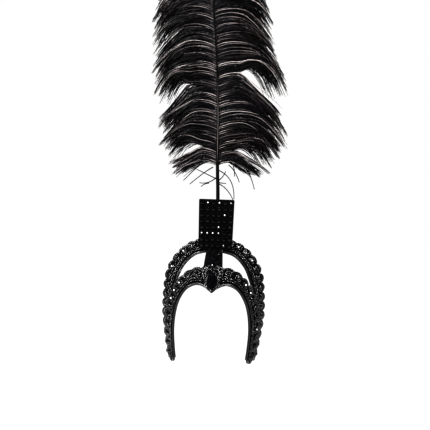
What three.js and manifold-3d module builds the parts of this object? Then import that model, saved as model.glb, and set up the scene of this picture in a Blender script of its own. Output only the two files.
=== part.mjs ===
// A feather headdress: two stiffened bands that frame the face, joined over the brow by a strap, and an
// upright plate of cut stones that carries one tall drooping plume.
// Millimetres. The front faces -Y, +Z is up and +X is the wearer's left. The origin is on the middle of
// the crown band's underside, where the headdress sits on the head.
import * as THREE from "three";
import { mergeVertices } from "three/addons/utils/BufferGeometryUtils.js";
import Module from "manifold-3d";

// The head that the bands go round
const HEAD_HALF = 76; // half the breadth between the bands above the ears
const HEAD_FORE = 90; // from the seat forward to the brow
const BAND_DROP = 204; // from the seat down to the ends of the bands

// The bands and what is sewn on them
const GAP = 0.3; // between pieces that touch
const JOIN_OUT = 1.3; // how far outside the front band's edge the crown band's edge lies
const FRONT_WIDTH = 38;
const CROWN_WIDTH = 40;
const BAND_WALL = 2;
const RIM_DIAMETER = 4.6;
const RIM_SIDES = 6;
const TRIM_WALL = 1.2;
const TRIM_GAP = 0.6; // the braid's own gap over a band, which twists under it
const TRIM_FROM = 0.03; // where the braid's tape starts, as a share across the band
const TRIM_END = 0.985; // where it ends, as a share along the band
const FRONT_TRIM_X = 15.5; // where the braid of each half band starts beside the strap
const CROWN_TRIM_X = 14.6;
const SCALLOP_PITCH = 18;
const SCALLOP_DEPTH = 3;
const BOSS_DIAMETER = 13; // the raised scroll round each small stone
const BOSS_HEIGHT = 1.6;
const BOSS_STONE_DIAMETER = 5.2;
const BOSS_STONE_HEIGHT = 1.6;
const BOSS_ACROSS = 0.62; // where it lies, as a share across the band
const BOSS_SIDES = 8;
const RIDGE_SHARE = 0.75; // where the scroll is highest, as a share of its radius
const TABLE_SHARE = 0.55; // of each cut stone, as a share of its width

// The strap down the middle of the brow, its stones and the drop at the peak
const STRAP_TOP_WIDTH = 27.5;
const STRAP_MIDDLE_WIDTH = 33;
const STRAP_PEAK_WIDTH = 25;
const STRAP_WALL = 2;
const STRAP_TAPE_WIDTH = 15;
const STRAP_STONE_DIAMETER = 13;
const STRAP_STONE_HEIGHT = 3.4;
const STRAP_STONE_SIDES = 12;
const STRAP_STONE_MARGIN = 0.03; // how far their tape runs on past them, as a share of the strap
const DROP_WIDTH = 18;
const DROP_LENGTH = 33;
const DROP_HEIGHT = 6;
const DROP_DOWN = 0.86; // where its middle lies, as a share of the way down the strap
const DROP_SIDES = 12;
const DROP_SHOULDER = 0.62; // the width towards its point, as a share of a round outline's
const DROP_GIRDLE = 0.45; // the height of its edge, as a share of its own
const SETTING_OUT = 1.4; // how far the setting stands out round the drop
const SETTING_TOP = 0.6; // the same at its top, as a share
const SETTING_HEIGHT = 0.8; // as a share of the height of the drop's edge

// The upright plate and its field of stones
const PLATE_TOP_WIDTH = 63;
const PLATE_BOTTOM_WIDTH = 60;
const PLATE_HEIGHT = 88;
const PLATE_WALL = 3;
const PLATE_CORNER = 2.5;
const PLATE_X = 1; // the plate stands a little to one side
const PLATE_FOOT_DOWN = 0.03; // where its back edge stands, as a share of the way down the strap
const FIELD_WALL = 0.8;
const FIELD_MARGIN = 0.6;
const FIELD_COLUMNS = 6;
const FIELD_ROWS = 8;
const FIELD_STONE_SHARE = 0.86; // of a stone's share of the field
const FIELD_STONE_HEIGHT = 2.4;
const FIELD_STONE_SIDES = 8;

// The plume and its socket
const SOCKET_WIDTH = 12;
const SOCKET_TOP = 62; // height of the socket's mouth above the seat
const SOCKET_FLOOR = 4;
const BORE_SIDES = 16;
const QUILL_DIAMETER = 6.6;
const QUILL_TIP_DIAMETER = 1.8;
const QUILL_STRAIGHT = 0.1; // the share of its length before it tapers
const QUILL_SIDES = 8;
const QUILL_STEPS = 16;
const PLUME_LENGTH = 600;
const VANE_HALF = 128; // the longest reach of the barbs from the quill
const LOCKS_PER_SIDE = 12;
const LOCK_TALL = 50;
const LOCK_DEEP = 20;
const LOCK_FAN = 22; // how far a lock's tip swings out of the plane of the plume
const TIP_FROM = 0.82; // where the lock at the plume's tip starts

// A row for each section of the front band, from the peak to the end beside the jaw: its inner edge as
// shares of HEAD_HALF, HEAD_FORE and BAND_DROP, then the way to its outer edge as shares of FRONT_WIDTH.
const FRONT_ROWS = [
  { side: 0, fore: 0.965, up: -0.366, out: 0, back: 0.86, rise: 1.07 },
  { side: 0.155, fore: 0.888, up: -0.325, out: 0.08, back: 0.7, rise: 0.84 },
  { side: 0.345, fore: 0.807, up: -0.307, out: 0.11, back: 0.63, rise: 0.69 },
  { side: 0.56, fore: 0.752, up: -0.343, out: 0.09, back: 0.66, rise: 0.63 },
  { side: 0.73, fore: 0.65, up: -0.432, out: 0.14, back: 0.68, rise: 0.62 },
  { side: 0.832, fore: 0.53, up: -0.55, out: 0.22, back: 0.72, rise: 0.6 },
  { side: 0.875, fore: 0.46, up: -0.7, out: 0.3, back: 0.77, rise: 0.5 },
  { side: 0.852, fore: 0.42, up: -0.868, out: 0.31, back: 0.76, rise: 0.34 },
  { side: 0.805, fore: 0.38, up: -1.012, out: 0.25, back: 0.66, rise: 0.08 },
];

// The same for the crown band, from the middle of the crown, with shares of CROWN_WIDTH. Rows without
// an inner edge of their own lie along the outer edge of the front band, which they are sewn to.
const CROWN_ROWS = [
  { side: 0, fore: 0.167, up: -0.0564, out: 0, back: 0.75, rise: 0.575 },
  { side: 0.215, fore: 0.167, up: -0.063, out: 0.2, back: 0.76, rise: 0.57 },
  { side: 0.445, fore: 0.168, up: -0.092, out: 0.36, back: 0.78, rise: 0.47 },
  { side: 0.652, fore: 0.175, up: -0.168, out: 0.46, back: 0.78, rise: 0.37 },
  { side: 0.81, fore: 0.19, up: -0.275, out: 0.48, back: 0.8, rise: 0.26 },
  { side: 0.935, fore: 0.15, up: -0.41, out: 0.35, back: 0.83, rise: 0.1 },
  { out: 0.17, back: 0.8, rise: 0.02 },
  { out: 0.09, back: 0.74, rise: 0.02 },
  { out: 0.06, back: 0.6, rise: -0.03 },
];

// Where the bands' round ends start, as a share of the half band, and the sections of a round end
const END_START = 0.955;
const END_SECTIONS = [0.45, 0.8, 1];
const END_LEAST = 0.3; // the last section's share of the band's width
const BAND_STEPS = 28;
const SCALLOP_STEPS = [0, 0.18, 0.5, 0.82]; // the sections of one scallop of the braid

// The strap's sections from under the plate to the peak: the band that a section lies on, how far across
// that band from its inner edge, and how its width runs between the three named widths.
const STRAP_ROWS = [
  { on: "crown", across: 0.15, overRim: 1, width: 0 },
  { on: "crown", across: -0.02, overRim: 1, width: 0.1 },
  { on: "crown", across: -0.13, overRim: 1, width: 0.2 },
  { on: "front", across: 1.04, overRim: 0, width: 1 },
  { on: "front", across: 0.78, overRim: 0, width: 1.05 },
  { on: "front", across: 0.45, overRim: 0, width: 1.5 },
  { on: "front", across: 0.12, overRim: 0, width: 2 },
];
// The strap's stones: their places as shares of the way down it, and their size
const STRAP_STONES = [
  { down: 0.366, size: 0.85 },
  { down: 0.424, size: 1 },
  { down: 0.484, size: 1 },
];
const STRAP_PLACES = [-1, -0.5, 0, 0.5, 1]; // the points of a section, as shares of its half width

// The quill's line, as shares of PLUME_LENGTH
const PLUME_ROWS = [
  { up: 0, side: 0.0045, back: 0 },
  { up: 0.1, side: 0.0045, back: 0 },
  { up: 0.15, side: 0.0035, back: 0.0005 },
  { up: 0.24, side: -0.001, back: 0.003 },
  { up: 0.39, side: -0.008, back: 0.009 },
  { up: 0.55, side: -0.016, back: 0.014 },
  { up: 0.73, side: -0.024, back: 0.012 },
  { up: 0.88, side: -0.029, back: -0.004 },
  { up: 1, side: -0.033, back: -0.03 },
];
// The locks: where they leave the quill, their reach to each side as shares of VANE_HALF, and how they
// rise and droop as shares of their reach
const LOCK_ROWS = [
  { up: 0.275, right: 0.66, left: 0.6, rise: -0.02, droop: 0.5 },
  { up: 0.33, right: 0.86, left: 0.7, rise: 0.06, droop: 0.5 },
  { up: 0.42, right: 1, left: 0.82, rise: 0.1, droop: 0.46 },
  { up: 0.55, right: 0.96, left: 0.88, rise: 0.12, droop: 0.44 },
  { up: 0.7, right: 0.88, left: 0.85, rise: 0.14, droop: 0.42 },
  { up: 0.85, right: 0.76, left: 0.76, rise: 0.22, droop: 0.36 },
  { up: 0.91, right: 0.6, left: 0.6, rise: 0.4, droop: 0.16 },
  { up: 0.955, right: 0.34, left: 0.34, rise: 0.7, droop: -0.1 },
];
// A lock's section along its length, as shares of LOCK_TALL and LOCK_DEEP
const LOCK_SECTIONS = [
  { along: 0, tall: 0.95, deep: 0.5 },
  { along: 0.3, tall: 1, deep: 0.9 },
  { along: 0.62, tall: 0.95, deep: 1 },
  { along: 0.86, tall: 0.6, deep: 0.6 },
  { along: 1, tall: 0.1, deep: 0.12 },
];
// A lock's line: out as a share of its reach, swing, rise and droop as shares of its own
const LOCK_LINE = [
  { out: 0, swing: 0, rise: 0, droop: 0 },
  { out: 0.4, swing: 0.15, rise: 1, droop: 0 },
  { out: 0.97, swing: 0.5, rise: 1.1, droop: 0 },
  { out: 1, swing: 1, rise: 0, droop: 1 },
];
const LOCK_SWINGS = [-1, 0.4, -0.35, 0.9]; // how the tips take turns in front of and behind the plume
const LOCK_LENGTHS = [1, 0.9, 0.97, 0.88, 0.94]; // ragged lengths, taken in turn

const wasm = await Module();
wasm.setup();

const vector = (x, y, z) => new THREE.Vector3(x, y, z);
const mix = THREE.MathUtils.lerp;

// The place between two limits where a test turns from true to false
const HALVINGS = 24;
function turningPoint(low, high, test) {
  for (let i = 0; i < HALVINGS; i++) {
    const middle = (low + high) / 2;
    if (test(middle)) low = middle;
    else high = middle;
  }
  return low;
}

// A closed body through rings of as many points each, with flat ends. Each quad is split along its
// longer diagonal, which keeps twisted strips that lie on each other apart.
function loft(rings) {
  const count = rings[0].length;
  const points = rings.flat();
  const faces = [];
  for (let r = 0; r + 1 < rings.length; r++) {
    for (let i = 0; i < count; i++) {
      const [a, b] = [r * count + i, r * count + ((i + 1) % count)];
      const [c, d] = [b + count, a + count];
      const acrossFirst = points[a].distanceTo(points[c]) > points[b].distanceTo(points[d]);
      faces.push(...(acrossFirst ? [a, b, c, a, c, d] : [a, b, d, b, c, d]));
    }
  }
  const last = (rings.length - 1) * count;
  for (let i = 1; i + 1 < count; i++) {
    faces.push(0, i + 1, i, last, last + i, last + i + 1);
  }
  let volume = 0;
  for (let i = 0; i < faces.length; i += 3) {
    const [p, q, r] = faces.slice(i, i + 3).map((k) => points[k]);
    volume += p.dot(q.clone().cross(r));
  }
  const body = new THREE.BufferGeometry().setFromPoints(points);
  body.setIndex(volume < 0 ? faces.reverse() : faces);
  return body;
}

function solidOf(geometry) {
  const bare = geometry.clone();
  bare.deleteAttribute("normal");
  bare.deleteAttribute("uv");
  const merged = mergeVertices(bare, 1e-4);
  return new wasm.Manifold(
    new wasm.Mesh({
      numProp: 3,
      vertProperties: merged.attributes.position.array,
      triVerts: new Uint32Array(merged.index.array),
    }),
  );
}

function geometryOf(solid) {
  const mesh = solid.getMesh();
  const body = new THREE.BufferGeometry();
  body.setAttribute("position", new THREE.Float32BufferAttribute(mesh.vertProperties, 3));
  body.setIndex(Array.from(mesh.triVerts));
  return body;
}

const fused = (geometries) =>
  geometryOf(geometries.map(solidOf).reduce((whole, piece) => whole.add(piece)));

// The value of a table's column at a place, straight between its rows
function column(rows, key, name, at) {
  const next = rows.findIndex((row) => row[key] >= at);
  if (next === 0) return rows[0][name];
  if (next < 0) return rows[rows.length - 1][name];
  const [a, b] = [rows[next - 1], rows[next]];
  return mix(a[name], b[name], (at - a[key]) / (b[key] - a[key]));
}

// A band: its inner and outer edges run from the middle, at t = 0, to the end of the right side, at 1.
function bandOf(innerPoints, rows, width) {
  const outerPoints = innerPoints.map((p, i) =>
    vector(rows[i].out, rows[i].back, rows[i].rise).multiplyScalar(width).add(p),
  );
  const inner = new THREE.CatmullRomCurve3(innerPoints, false, "centripetal");
  const outer = new THREE.CatmullRomCurve3(outerPoints, false, "centripetal");
  return { inner, outer, innerPoints, outerPoints };
}

const innerPoint = (row) =>
  vector(row.side * HEAD_HALF, -row.fore * HEAD_FORE, row.up * BAND_DROP);

const front = bandOf(FRONT_ROWS.map(innerPoint), FRONT_ROWS, FRONT_WIDTH);
const JOIN_BACK = SCALLOP_DEPTH + RIM_DIAMETER + 4 * GAP;
const crown = bandOf(
  CROWN_ROWS.map((row, i) =>
    "side" in row
      ? innerPoint(row)
      : front.outerPoints[i].clone().add(vector(JOIN_OUT, JOIN_BACK, 0)),
  ),
  CROWN_ROWS,
  CROWN_WIDTH,
);
const bands = { front, crown };

// The band's frame at t, from -1 to 1: its inner edge, the span across it and the way out of its face
const FRAME_STEP = 0.01;
function frameOf(band, t) {
  const at = Math.min(Math.abs(t), 1);
  const edge = band.inner.getPoint(at);
  const span = band.outer.getPoint(at).sub(edge);
  const middle = (s) => band.inner.getPoint(s).lerp(band.outer.getPoint(s), 0.5);
  const along =
    at < FRAME_STEP
      ? vector(1, 0, 0)
      : middle(Math.min(at + FRAME_STEP, 1)).sub(middle(at - FRAME_STEP)).normalize();
  const out = along.cross(span).normalize();
  if (t < 0) {
    for (const v of [edge, span, out]) v.x = -v.x;
  }
  return { edge, span, out };
}

// A point of the band's face: across runs from 0 at the inner edge to 1 at the outer, lift is the height
// above the band's underside.
function faceOf(band, t, across, lift) {
  const { edge, span, out } = frameOf(band, t);
  return edge.addScaledVector(span, across).addScaledVector(out, lift);
}

// The same for a given distance from the middle plane, near the middle of the band
function faceAtSide(band, x, across, lift) {
  const t = turningPoint(0, 0.5, (at) => faceOf(band, at, across, lift).x < Math.abs(x));
  return faceOf(band, Math.sign(x) * t, across, lift);
}

// A section of a strip on the band's face
function sectionOf(band, t, from, to, low, high) {
  const corners = [[from, high], [to, high], [to, low], [from, low]];
  return corners.map(([across, lift]) => faceOf(band, t, across, lift));
}

function bandBody(band) {
  const sections = [];
  for (let i = 0; i <= BAND_STEPS; i++) sections.push({ t: (END_START * i) / BAND_STEPS, share: 1 });
  for (const round of END_SECTIONS) {
    const share = Math.max(END_LEAST, Math.sqrt(1 - round * round));
    sections.push({ t: mix(END_START, 1, round), share });
  }
  const left = sections.slice(1).reverse().map(({ t, share }) => ({ t: -t, share }));
  return loft(
    [...left, ...sections].map(({ t, share }) =>
      sectionOf(band, t, (1 - share) / 2, (1 + share) / 2, 0, BAND_WALL),
    ),
  );
}

// Round piping along the band's inner edge
function rimBody(band) {
  const rings = [];
  for (let i = -BAND_STEPS; i <= BAND_STEPS; i++) {
    const { edge, span, out } = frameOf(band, (END_START * i) / BAND_STEPS);
    const inward = span.normalize().negate();
    const radius = RIM_DIAMETER / 2;
    const centre = edge.addScaledVector(inward, radius + GAP).addScaledVector(out, BAND_WALL / 2);
    rings.push(
      Array.from({ length: RIM_SIDES }, (_, k) => {
        const angle = (k / RIM_SIDES) * 2 * Math.PI;
        return centre
          .clone()
          .addScaledVector(inward, radius * Math.cos(angle))
          .addScaledVector(out, radius * Math.sin(angle));
      }),
    );
  }
  return loft(rings);
}

function turned(profile, sides) {
  const points = profile.map(([x, y]) => new THREE.Vector2(x, y));
  return new THREE.LatheGeometry(points, sides).rotateX(Math.PI / 2);
}

// A stone with a flat table and a ring of facets, standing on +Z, with its foot sunk into what carries it
function stone(diameter, height, sides, sunk) {
  const radius = diameter / 2;
  return turned([[0, -sunk], [radius, -sunk], [radius * TABLE_SHARE, height], [0, height]], sides);
}

// The raised scroll with its small stone, as one turned body
function motif() {
  const [ring, girdle] = [BOSS_DIAMETER / 2, BOSS_STONE_DIAMETER / 2];
  const top = BOSS_HEIGHT / 2 + BOSS_STONE_HEIGHT;
  return turned(
    [
      [0, -TRIM_WALL / 2],
      [ring, -TRIM_WALL / 2],
      [ring * RIDGE_SHARE, BOSS_HEIGHT],
      [girdle, BOSS_HEIGHT / 2],
      [girdle * TABLE_SHARE, top],
      [0, top],
    ],
    BOSS_SIDES,
  );
}

// Turns a geometry that stands on +Z to stand at a point along a way
function stand(geometry, point, way) {
  const turn = new THREE.Quaternion().setFromUnitVectors(vector(0, 0, 1), way);
  return geometry.applyQuaternion(turn).translate(point.x, point.y, point.z);
}

// The braid on one half of a band: a tape with a scalloped outer edge and a motif in each scallop
const LENGTH_STEPS = 400;
function trimBody(band, side, startX) {
  const start = turningPoint(0, 0.5, (t) => faceOf(band, t, 0, 0).x < startX);
  const length = band.outer.getLength();
  const startLength = band.outer.getLengths(LENGTH_STEPS)[Math.round(start * LENGTH_STEPS)];
  const count = Math.round((length * TRIM_END - startLength) / SCALLOP_PITCH);
  const shareAt = (i) => mix(startLength / length, TRIM_END, i / count);
  const tAt = (i) => band.outer.getUtoTmapping(shareAt(i));
  const low = BAND_WALL + TRIM_GAP;
  const rings = [];
  for (let i = 0; i <= count; i++) {
    for (const part of i < count ? SCALLOP_STEPS : [0]) {
      const t = tAt(i + part);
      const { span } = frameOf(band, t);
      const overhang = (SCALLOP_DEPTH * Math.sin(Math.PI * part)) / span.length();
      rings.push(sectionOf(band, side * t, TRIM_FROM, 1 + overhang, low, low + TRIM_WALL));
    }
  }
  const pieces = [loft(rings)];
  for (let i = 0; i < count; i++) {
    const t = side * tAt(i + 0.5);
    const foot = faceOf(band, t, BOSS_ACROSS, low + TRIM_WALL);
    pieces.push(stand(motif(), foot, frameOf(band, t).out));
  }
  return fused(pieces);
}

// The strap
const strapWidth = (share) =>
  share < 1
    ? mix(STRAP_TOP_WIDTH, STRAP_MIDDLE_WIDTH, share)
    : mix(STRAP_MIDDLE_WIDTH, STRAP_PEAK_WIDTH, share - 1);

// A section of the strap: points from side to side at a height above the strap's underside
function strapSection({ on, across, overRim, width }, lift) {
  const over = (overRim * (RIM_DIAMETER - BAND_WALL)) / 2;
  const half = strapWidth(width) / 2;
  return STRAP_PLACES.map((v) =>
    faceAtSide(bands[on], v * half, across, BAND_WALL + GAP + over + lift),
  );
}

// The point before a place in a row of points, and the share of the way on to the next
function stepOf(at, count) {
  const before = Math.min(Math.floor(at), count - 2);
  return [before, at - before];
}

// A point over the strap: down runs from 0 at its first section to 1 at its last, and v from -1 to 1
// across it.
function strapPoint(down, v, lift) {
  const [i, onward] = stepOf(down * (STRAP_ROWS.length - 1), STRAP_ROWS.length);
  const [k, aside] = stepOf(((v + 1) / 2) * (STRAP_PLACES.length - 1), STRAP_PLACES.length);
  const [upper, lower] = [STRAP_ROWS[i], STRAP_ROWS[i + 1]].map((row) => {
    const section = strapSection(row, lift);
    return section[k].lerp(section[k + 1], aside);
  });
  return upper.lerp(lower, onward);
}

function strapStrip(downs, half, low, high) {
  const places = STRAP_PLACES.map((v) => v * half);
  return loft(
    downs.map((down) => [
      ...places.map((v) => strapPoint(down, v, high)),
      ...[...places].reverse().map((v) => strapPoint(down, v, low)),
    ]),
  );
}

const strapDowns = STRAP_ROWS.map((_, i) => i / (STRAP_ROWS.length - 1));
const strapBody = () => strapStrip(strapDowns, 1, 0, STRAP_WALL);

// The way down the strap, and the way out of its face
const STRAP_REACH = 0.01;
const strapRun = (down) =>
  strapPoint(down + STRAP_REACH, 0, 0).sub(strapPoint(down - STRAP_REACH, 0, 0)).normalize();
function strapWay(down) {
  const across = strapPoint(down, STRAP_REACH, 0).sub(strapPoint(down, -STRAP_REACH, 0));
  return strapRun(down).cross(across).normalize();
}

function strapStonesBody() {
  const low = STRAP_WALL + GAP;
  const first = STRAP_STONES[0].down - STRAP_STONE_MARGIN;
  const last = STRAP_STONES[STRAP_STONES.length - 1].down + STRAP_STONE_MARGIN;
  const between = strapDowns.filter((down) => down > first && down < last);
  const share = STRAP_TAPE_WIDTH / STRAP_MIDDLE_WIDTH;
  const tape = strapStrip([first, ...between, last], share, low, low + FIELD_WALL);
  const stones = STRAP_STONES.map(({ down, size }) =>
    stand(
      stone(STRAP_STONE_DIAMETER * size, STRAP_STONE_HEIGHT, STRAP_STONE_SIDES, FIELD_WALL / 2),
      strapPoint(down, 0, low + FIELD_WALL),
      strapWay(down),
    ),
  );
  return fused([tape, ...stones]);
}

// The drop shaped stone: rings of one outline, pointed at the top and round at the bottom
function dropOutline(grow, height, share = 1) {
  return Array.from({ length: DROP_SIDES }, (_, k) => {
    const angle = (k / DROP_SIDES) * 2 * Math.PI;
    const fullness = mix(DROP_SHOULDER, 1, Math.sqrt((1 - Math.cos(angle)) / 2));
    const x = Math.sin(angle) * (DROP_WIDTH / 2 + grow) * fullness;
    return vector(x * share, Math.cos(angle) * (DROP_LENGTH / 2 + grow) * share, height);
  });
}

function dropBody() {
  const girdle = DROP_HEIGHT * DROP_GIRDLE;
  const cut = loft([
    dropOutline(0, 0),
    dropOutline(0, girdle),
    dropOutline(0, DROP_HEIGHT, TABLE_SHARE),
  ]);
  const setting = loft([
    dropOutline(SETTING_OUT, 0),
    dropOutline(SETTING_OUT * SETTING_TOP, girdle * SETTING_HEIGHT),
  ]);
  const middle = strapPoint(DROP_DOWN, 0, STRAP_WALL + GAP);
  const up = strapRun(DROP_DOWN).negate();
  const turn = new THREE.Matrix4().makeBasis(vector(1, 0, 0), up, vector(1, 0, 0).cross(up));
  return fused([cut, setting]).applyMatrix4(turn).translate(middle.x, middle.y, middle.z);
}

// The back edge of the plate's foot stands on the strap where the strap lies on the crown band.
const plateFoot = strapPoint(PLATE_FOOT_DOWN, 0, STRAP_WALL + GAP);
const plateBack = plateFoot.y;

function plateShape(inset) {
  const [bottom, top] = [PLATE_BOTTOM_WIDTH / 2 - inset, PLATE_TOP_WIDTH / 2 - inset];
  const [low, high] = [inset, PLATE_HEIGHT - inset];
  const round = PLATE_CORNER - inset;
  return new THREE.Shape()
    .moveTo(-bottom + round, low)
    .lineTo(bottom - round, low)
    .quadraticCurveTo(bottom, low, bottom, low + round)
    .lineTo(top, high - round)
    .quadraticCurveTo(top, high, top - round, high)
    .lineTo(-top + round, high)
    .quadraticCurveTo(-top, high, -top, high - round)
    .lineTo(-bottom, low + round)
    .quadraticCurveTo(-bottom, low, -bottom + round, low);
}

const slab = (shape, depth) =>
  new THREE.ExtrudeGeometry(shape, { depth, bevelEnabled: false, curveSegments: 3 });

function fieldBody() {
  const pieces = [slab(plateShape(FIELD_MARGIN), FIELD_WALL)];
  const rowHeight = (PLATE_HEIGHT - 2 * FIELD_MARGIN) / FIELD_ROWS;
  for (let row = 0; row < FIELD_ROWS; row++) {
    const y = FIELD_MARGIN + (row + 0.5) * rowHeight;
    const width = mix(PLATE_BOTTOM_WIDTH, PLATE_TOP_WIDTH, y / PLATE_HEIGHT) - 2 * FIELD_MARGIN;
    const pitch = width / FIELD_COLUMNS;
    const diameter = Math.min(pitch, rowHeight) * FIELD_STONE_SHARE;
    for (let i = 0; i < FIELD_COLUMNS; i++) {
      const x = (i + 0.5) * pitch - width / 2;
      const cut = stone(diameter, FIELD_STONE_HEIGHT, FIELD_STONE_SIDES, FIELD_WALL / 2);
      pieces.push(cut.rotateZ(Math.PI / FIELD_STONE_SIDES).translate(x, y, FIELD_WALL));
    }
  }
  return fused(pieces);
}

// The socket stands behind the plate, on the crown band's face.
const socketFront = plateBack + GAP;
const socketX = PLUME_ROWS[0].side * PLUME_LENGTH;
const quillY = socketFront + SOCKET_WIDTH / 2;
function footUnder(x, y) {
  const faceAcross = (across) => faceAtSide(crown, x, across, BAND_WALL + GAP);
  return faceAcross(turningPoint(0, 1, (across) => faceAcross(across).y < y)).z;
}
// The quill stands over the socket's floor.
const quillFoot = footUnder(socketX, socketFront + SOCKET_WIDTH) + SOCKET_FLOOR;

function socketBody() {
  const half = SOCKET_WIDTH / 2;
  const corners = [
    [socketX - half, socketFront],
    [socketX + half, socketFront],
    [socketX + half, socketFront + SOCKET_WIDTH],
    [socketX - half, socketFront + SOCKET_WIDTH],
  ];
  // Its front edge stands on the end of the strap, and its back edge on the crown band.
  const strapEnd = strapPoint(0, 0, STRAP_WALL + GAP).z;
  const block = loft([
    corners.map(([x, y]) => vector(x, y, y > socketFront ? footUnder(x, y) : strapEnd)),
    corners.map(([x, y]) => vector(x, y, SOCKET_TOP)),
  ]);
  const height = SOCKET_TOP - quillFoot + 2 * GAP;
  const radius = QUILL_DIAMETER / 2 + GAP;
  const bore = new THREE.CylinderGeometry(radius, radius, height, BORE_SIDES);
  bore.rotateX(Math.PI / 2).translate(socketX, quillY, quillFoot - GAP + height / 2);
  return geometryOf(solidOf(block).subtract(solidOf(bore)));
}

// The plume
const quillCurve = new THREE.CatmullRomCurve3(
  PLUME_ROWS.map(({ up, side, back }) =>
    vector(side * PLUME_LENGTH, quillY + back * PLUME_LENGTH, quillFoot + up * PLUME_LENGTH),
  ),
  false,
  "centripetal",
);
function quillPoint(up) {
  const height = quillFoot + up * PLUME_LENGTH;
  return quillCurve.getPoint(turningPoint(0, 1, (t) => quillCurve.getPoint(t).z < height));
}

function quillBody() {
  const rings = [];
  for (let i = 0; i <= QUILL_STEPS; i++) {
    const up = i / QUILL_STEPS;
    const taper = Math.max(0, (up - QUILL_STRAIGHT) / (1 - QUILL_STRAIGHT));
    const radius = mix(QUILL_DIAMETER, QUILL_TIP_DIAMETER, taper) / 2;
    const centre = quillPoint(up);
    rings.push(
      Array.from({ length: QUILL_SIDES }, (_, k) => {
        const angle = (k / QUILL_SIDES) * 2 * Math.PI;
        return vector(Math.cos(angle) * radius, Math.sin(angle) * radius, 0).add(centre);
      }),
    );
  }
  return loft(rings);
}

// A lock of barbs along a line: flat in the plane of the plume, thickest in its middle
function lockAlong(line) {
  return loft(
    LOCK_SECTIONS.map(({ along, tall, deep }) => {
      const centre = line.getPoint(along);
      const ahead = line.getTangent(along);
      const across = vector(-ahead.z, 0, ahead.x).normalize().multiplyScalar((LOCK_TALL * tall) / 2);
      const depth = vector(0, (LOCK_DEEP * deep) / 2, 0);
      return [across, depth, across.clone().negate(), depth.clone().negate()].map((offset) =>
        offset.clone().add(centre),
      );
    }),
  );
}

// It leaves the quill nearly level, arches over and hangs at its tip.
function lockBody(up, side, turn) {
  const root = quillPoint(up);
  const reach =
    VANE_HALF *
    column(LOCK_ROWS, "up", side > 0 ? "right" : "left", up) *
    LOCK_LENGTHS[turn % LOCK_LENGTHS.length];
  const rise = column(LOCK_ROWS, "up", "rise", up) * reach;
  const droop = column(LOCK_ROWS, "up", "droop", up) * reach;
  const swing = LOCK_FAN * LOCK_SWINGS[turn % LOCK_SWINGS.length];
  const points = LOCK_LINE.map((row) =>
    vector(side * row.out * reach, row.swing * swing, row.rise * rise - row.droop * droop).add(root),
  );
  return lockAlong(new THREE.CubicBezierCurve3(...points));
}

function plumeBody() {
  const [first, last] = [LOCK_ROWS[0].up, LOCK_ROWS[LOCK_ROWS.length - 1].up];
  const locks = [];
  for (let i = 0; i < LOCKS_PER_SIDE; i++) {
    const up = mix(first, last, i / (LOCKS_PER_SIDE - 1));
    locks.push(lockBody(up, 1, i), lockBody(up, -1, i + 2));
  }
  const tip = new THREE.LineCurve3(quillPoint(TIP_FROM), quillPoint(1));
  return fused([quillBody(), lockAlong(tip), ...locks]);
}

// Finishes
const finish = (color, roughness, metalness = 0) =>
  new THREE.MeshStandardMaterial({ color, roughness, metalness });
const buckram = finish("#141316", 0.85);
const piping = finish("#101012", 0.25);
const braid = finish("#1b1a1e", 0.6);
const glass = finish("#08080b", 0.08);
const feather = finish("#17131a", 0.7);
const plastic = finish("#121214", 0.45);

// The headdress
const headdress = new THREE.Group();
function add(name, geometry, material, x = 0, y = 0, z = 0) {
  const mesh = new THREE.Mesh(geometry, material);
  mesh.name = name;
  mesh.position.set(x, y, z);
  headdress.add(mesh);
  return mesh;
}

add("front_band", bandBody(front), buckram);
add("crown_band", bandBody(crown), buckram);
add("front_rim", rimBody(front), piping);
add("crown_rim", rimBody(crown), piping);
for (const [side, name] of [[-1, "right"], [1, "left"]]) {
  add("front_trim_" + name, trimBody(front, side, FRONT_TRIM_X), braid);
  add("crown_trim_" + name, trimBody(crown, side, CROWN_TRIM_X), braid);
}
add("centre_strap", strapBody(), buckram);
add("strap_stones", strapStonesBody(), glass);
add("centre_stone", dropBody(), glass);
add("plume_plate", slab(plateShape(0), PLATE_WALL), plastic, PLATE_X, plateBack, plateFoot.z)
  .rotation.x = Math.PI / 2;
add("plate_stones", fieldBody(), glass, PLATE_X, plateBack - PLATE_WALL - GAP, plateFoot.z)
  .rotation.x = Math.PI / 2;
add("plume_socket", socketBody(), plastic);
add("plume", plumeBody(), feather);

export default headdress;
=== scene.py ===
# %% [markdown]
# # A feather headdress in Blender
# The real thing is a showgirl headdress. Two stiffened bands covered in scroll gimp arch one behind the
# other, a short strap joins them at their peaks, and an upright plate set with black stones stands on it,
# with one tall ostrich plume behind.
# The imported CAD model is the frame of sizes: each piece made here stands where its CAD node stands.
# Lengths are written in millimetres, as a maker would, and turned to metres when a mesh is made.

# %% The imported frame
import math

import bpy
import numpy as np
from mathutils import Matrix, Vector


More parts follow.
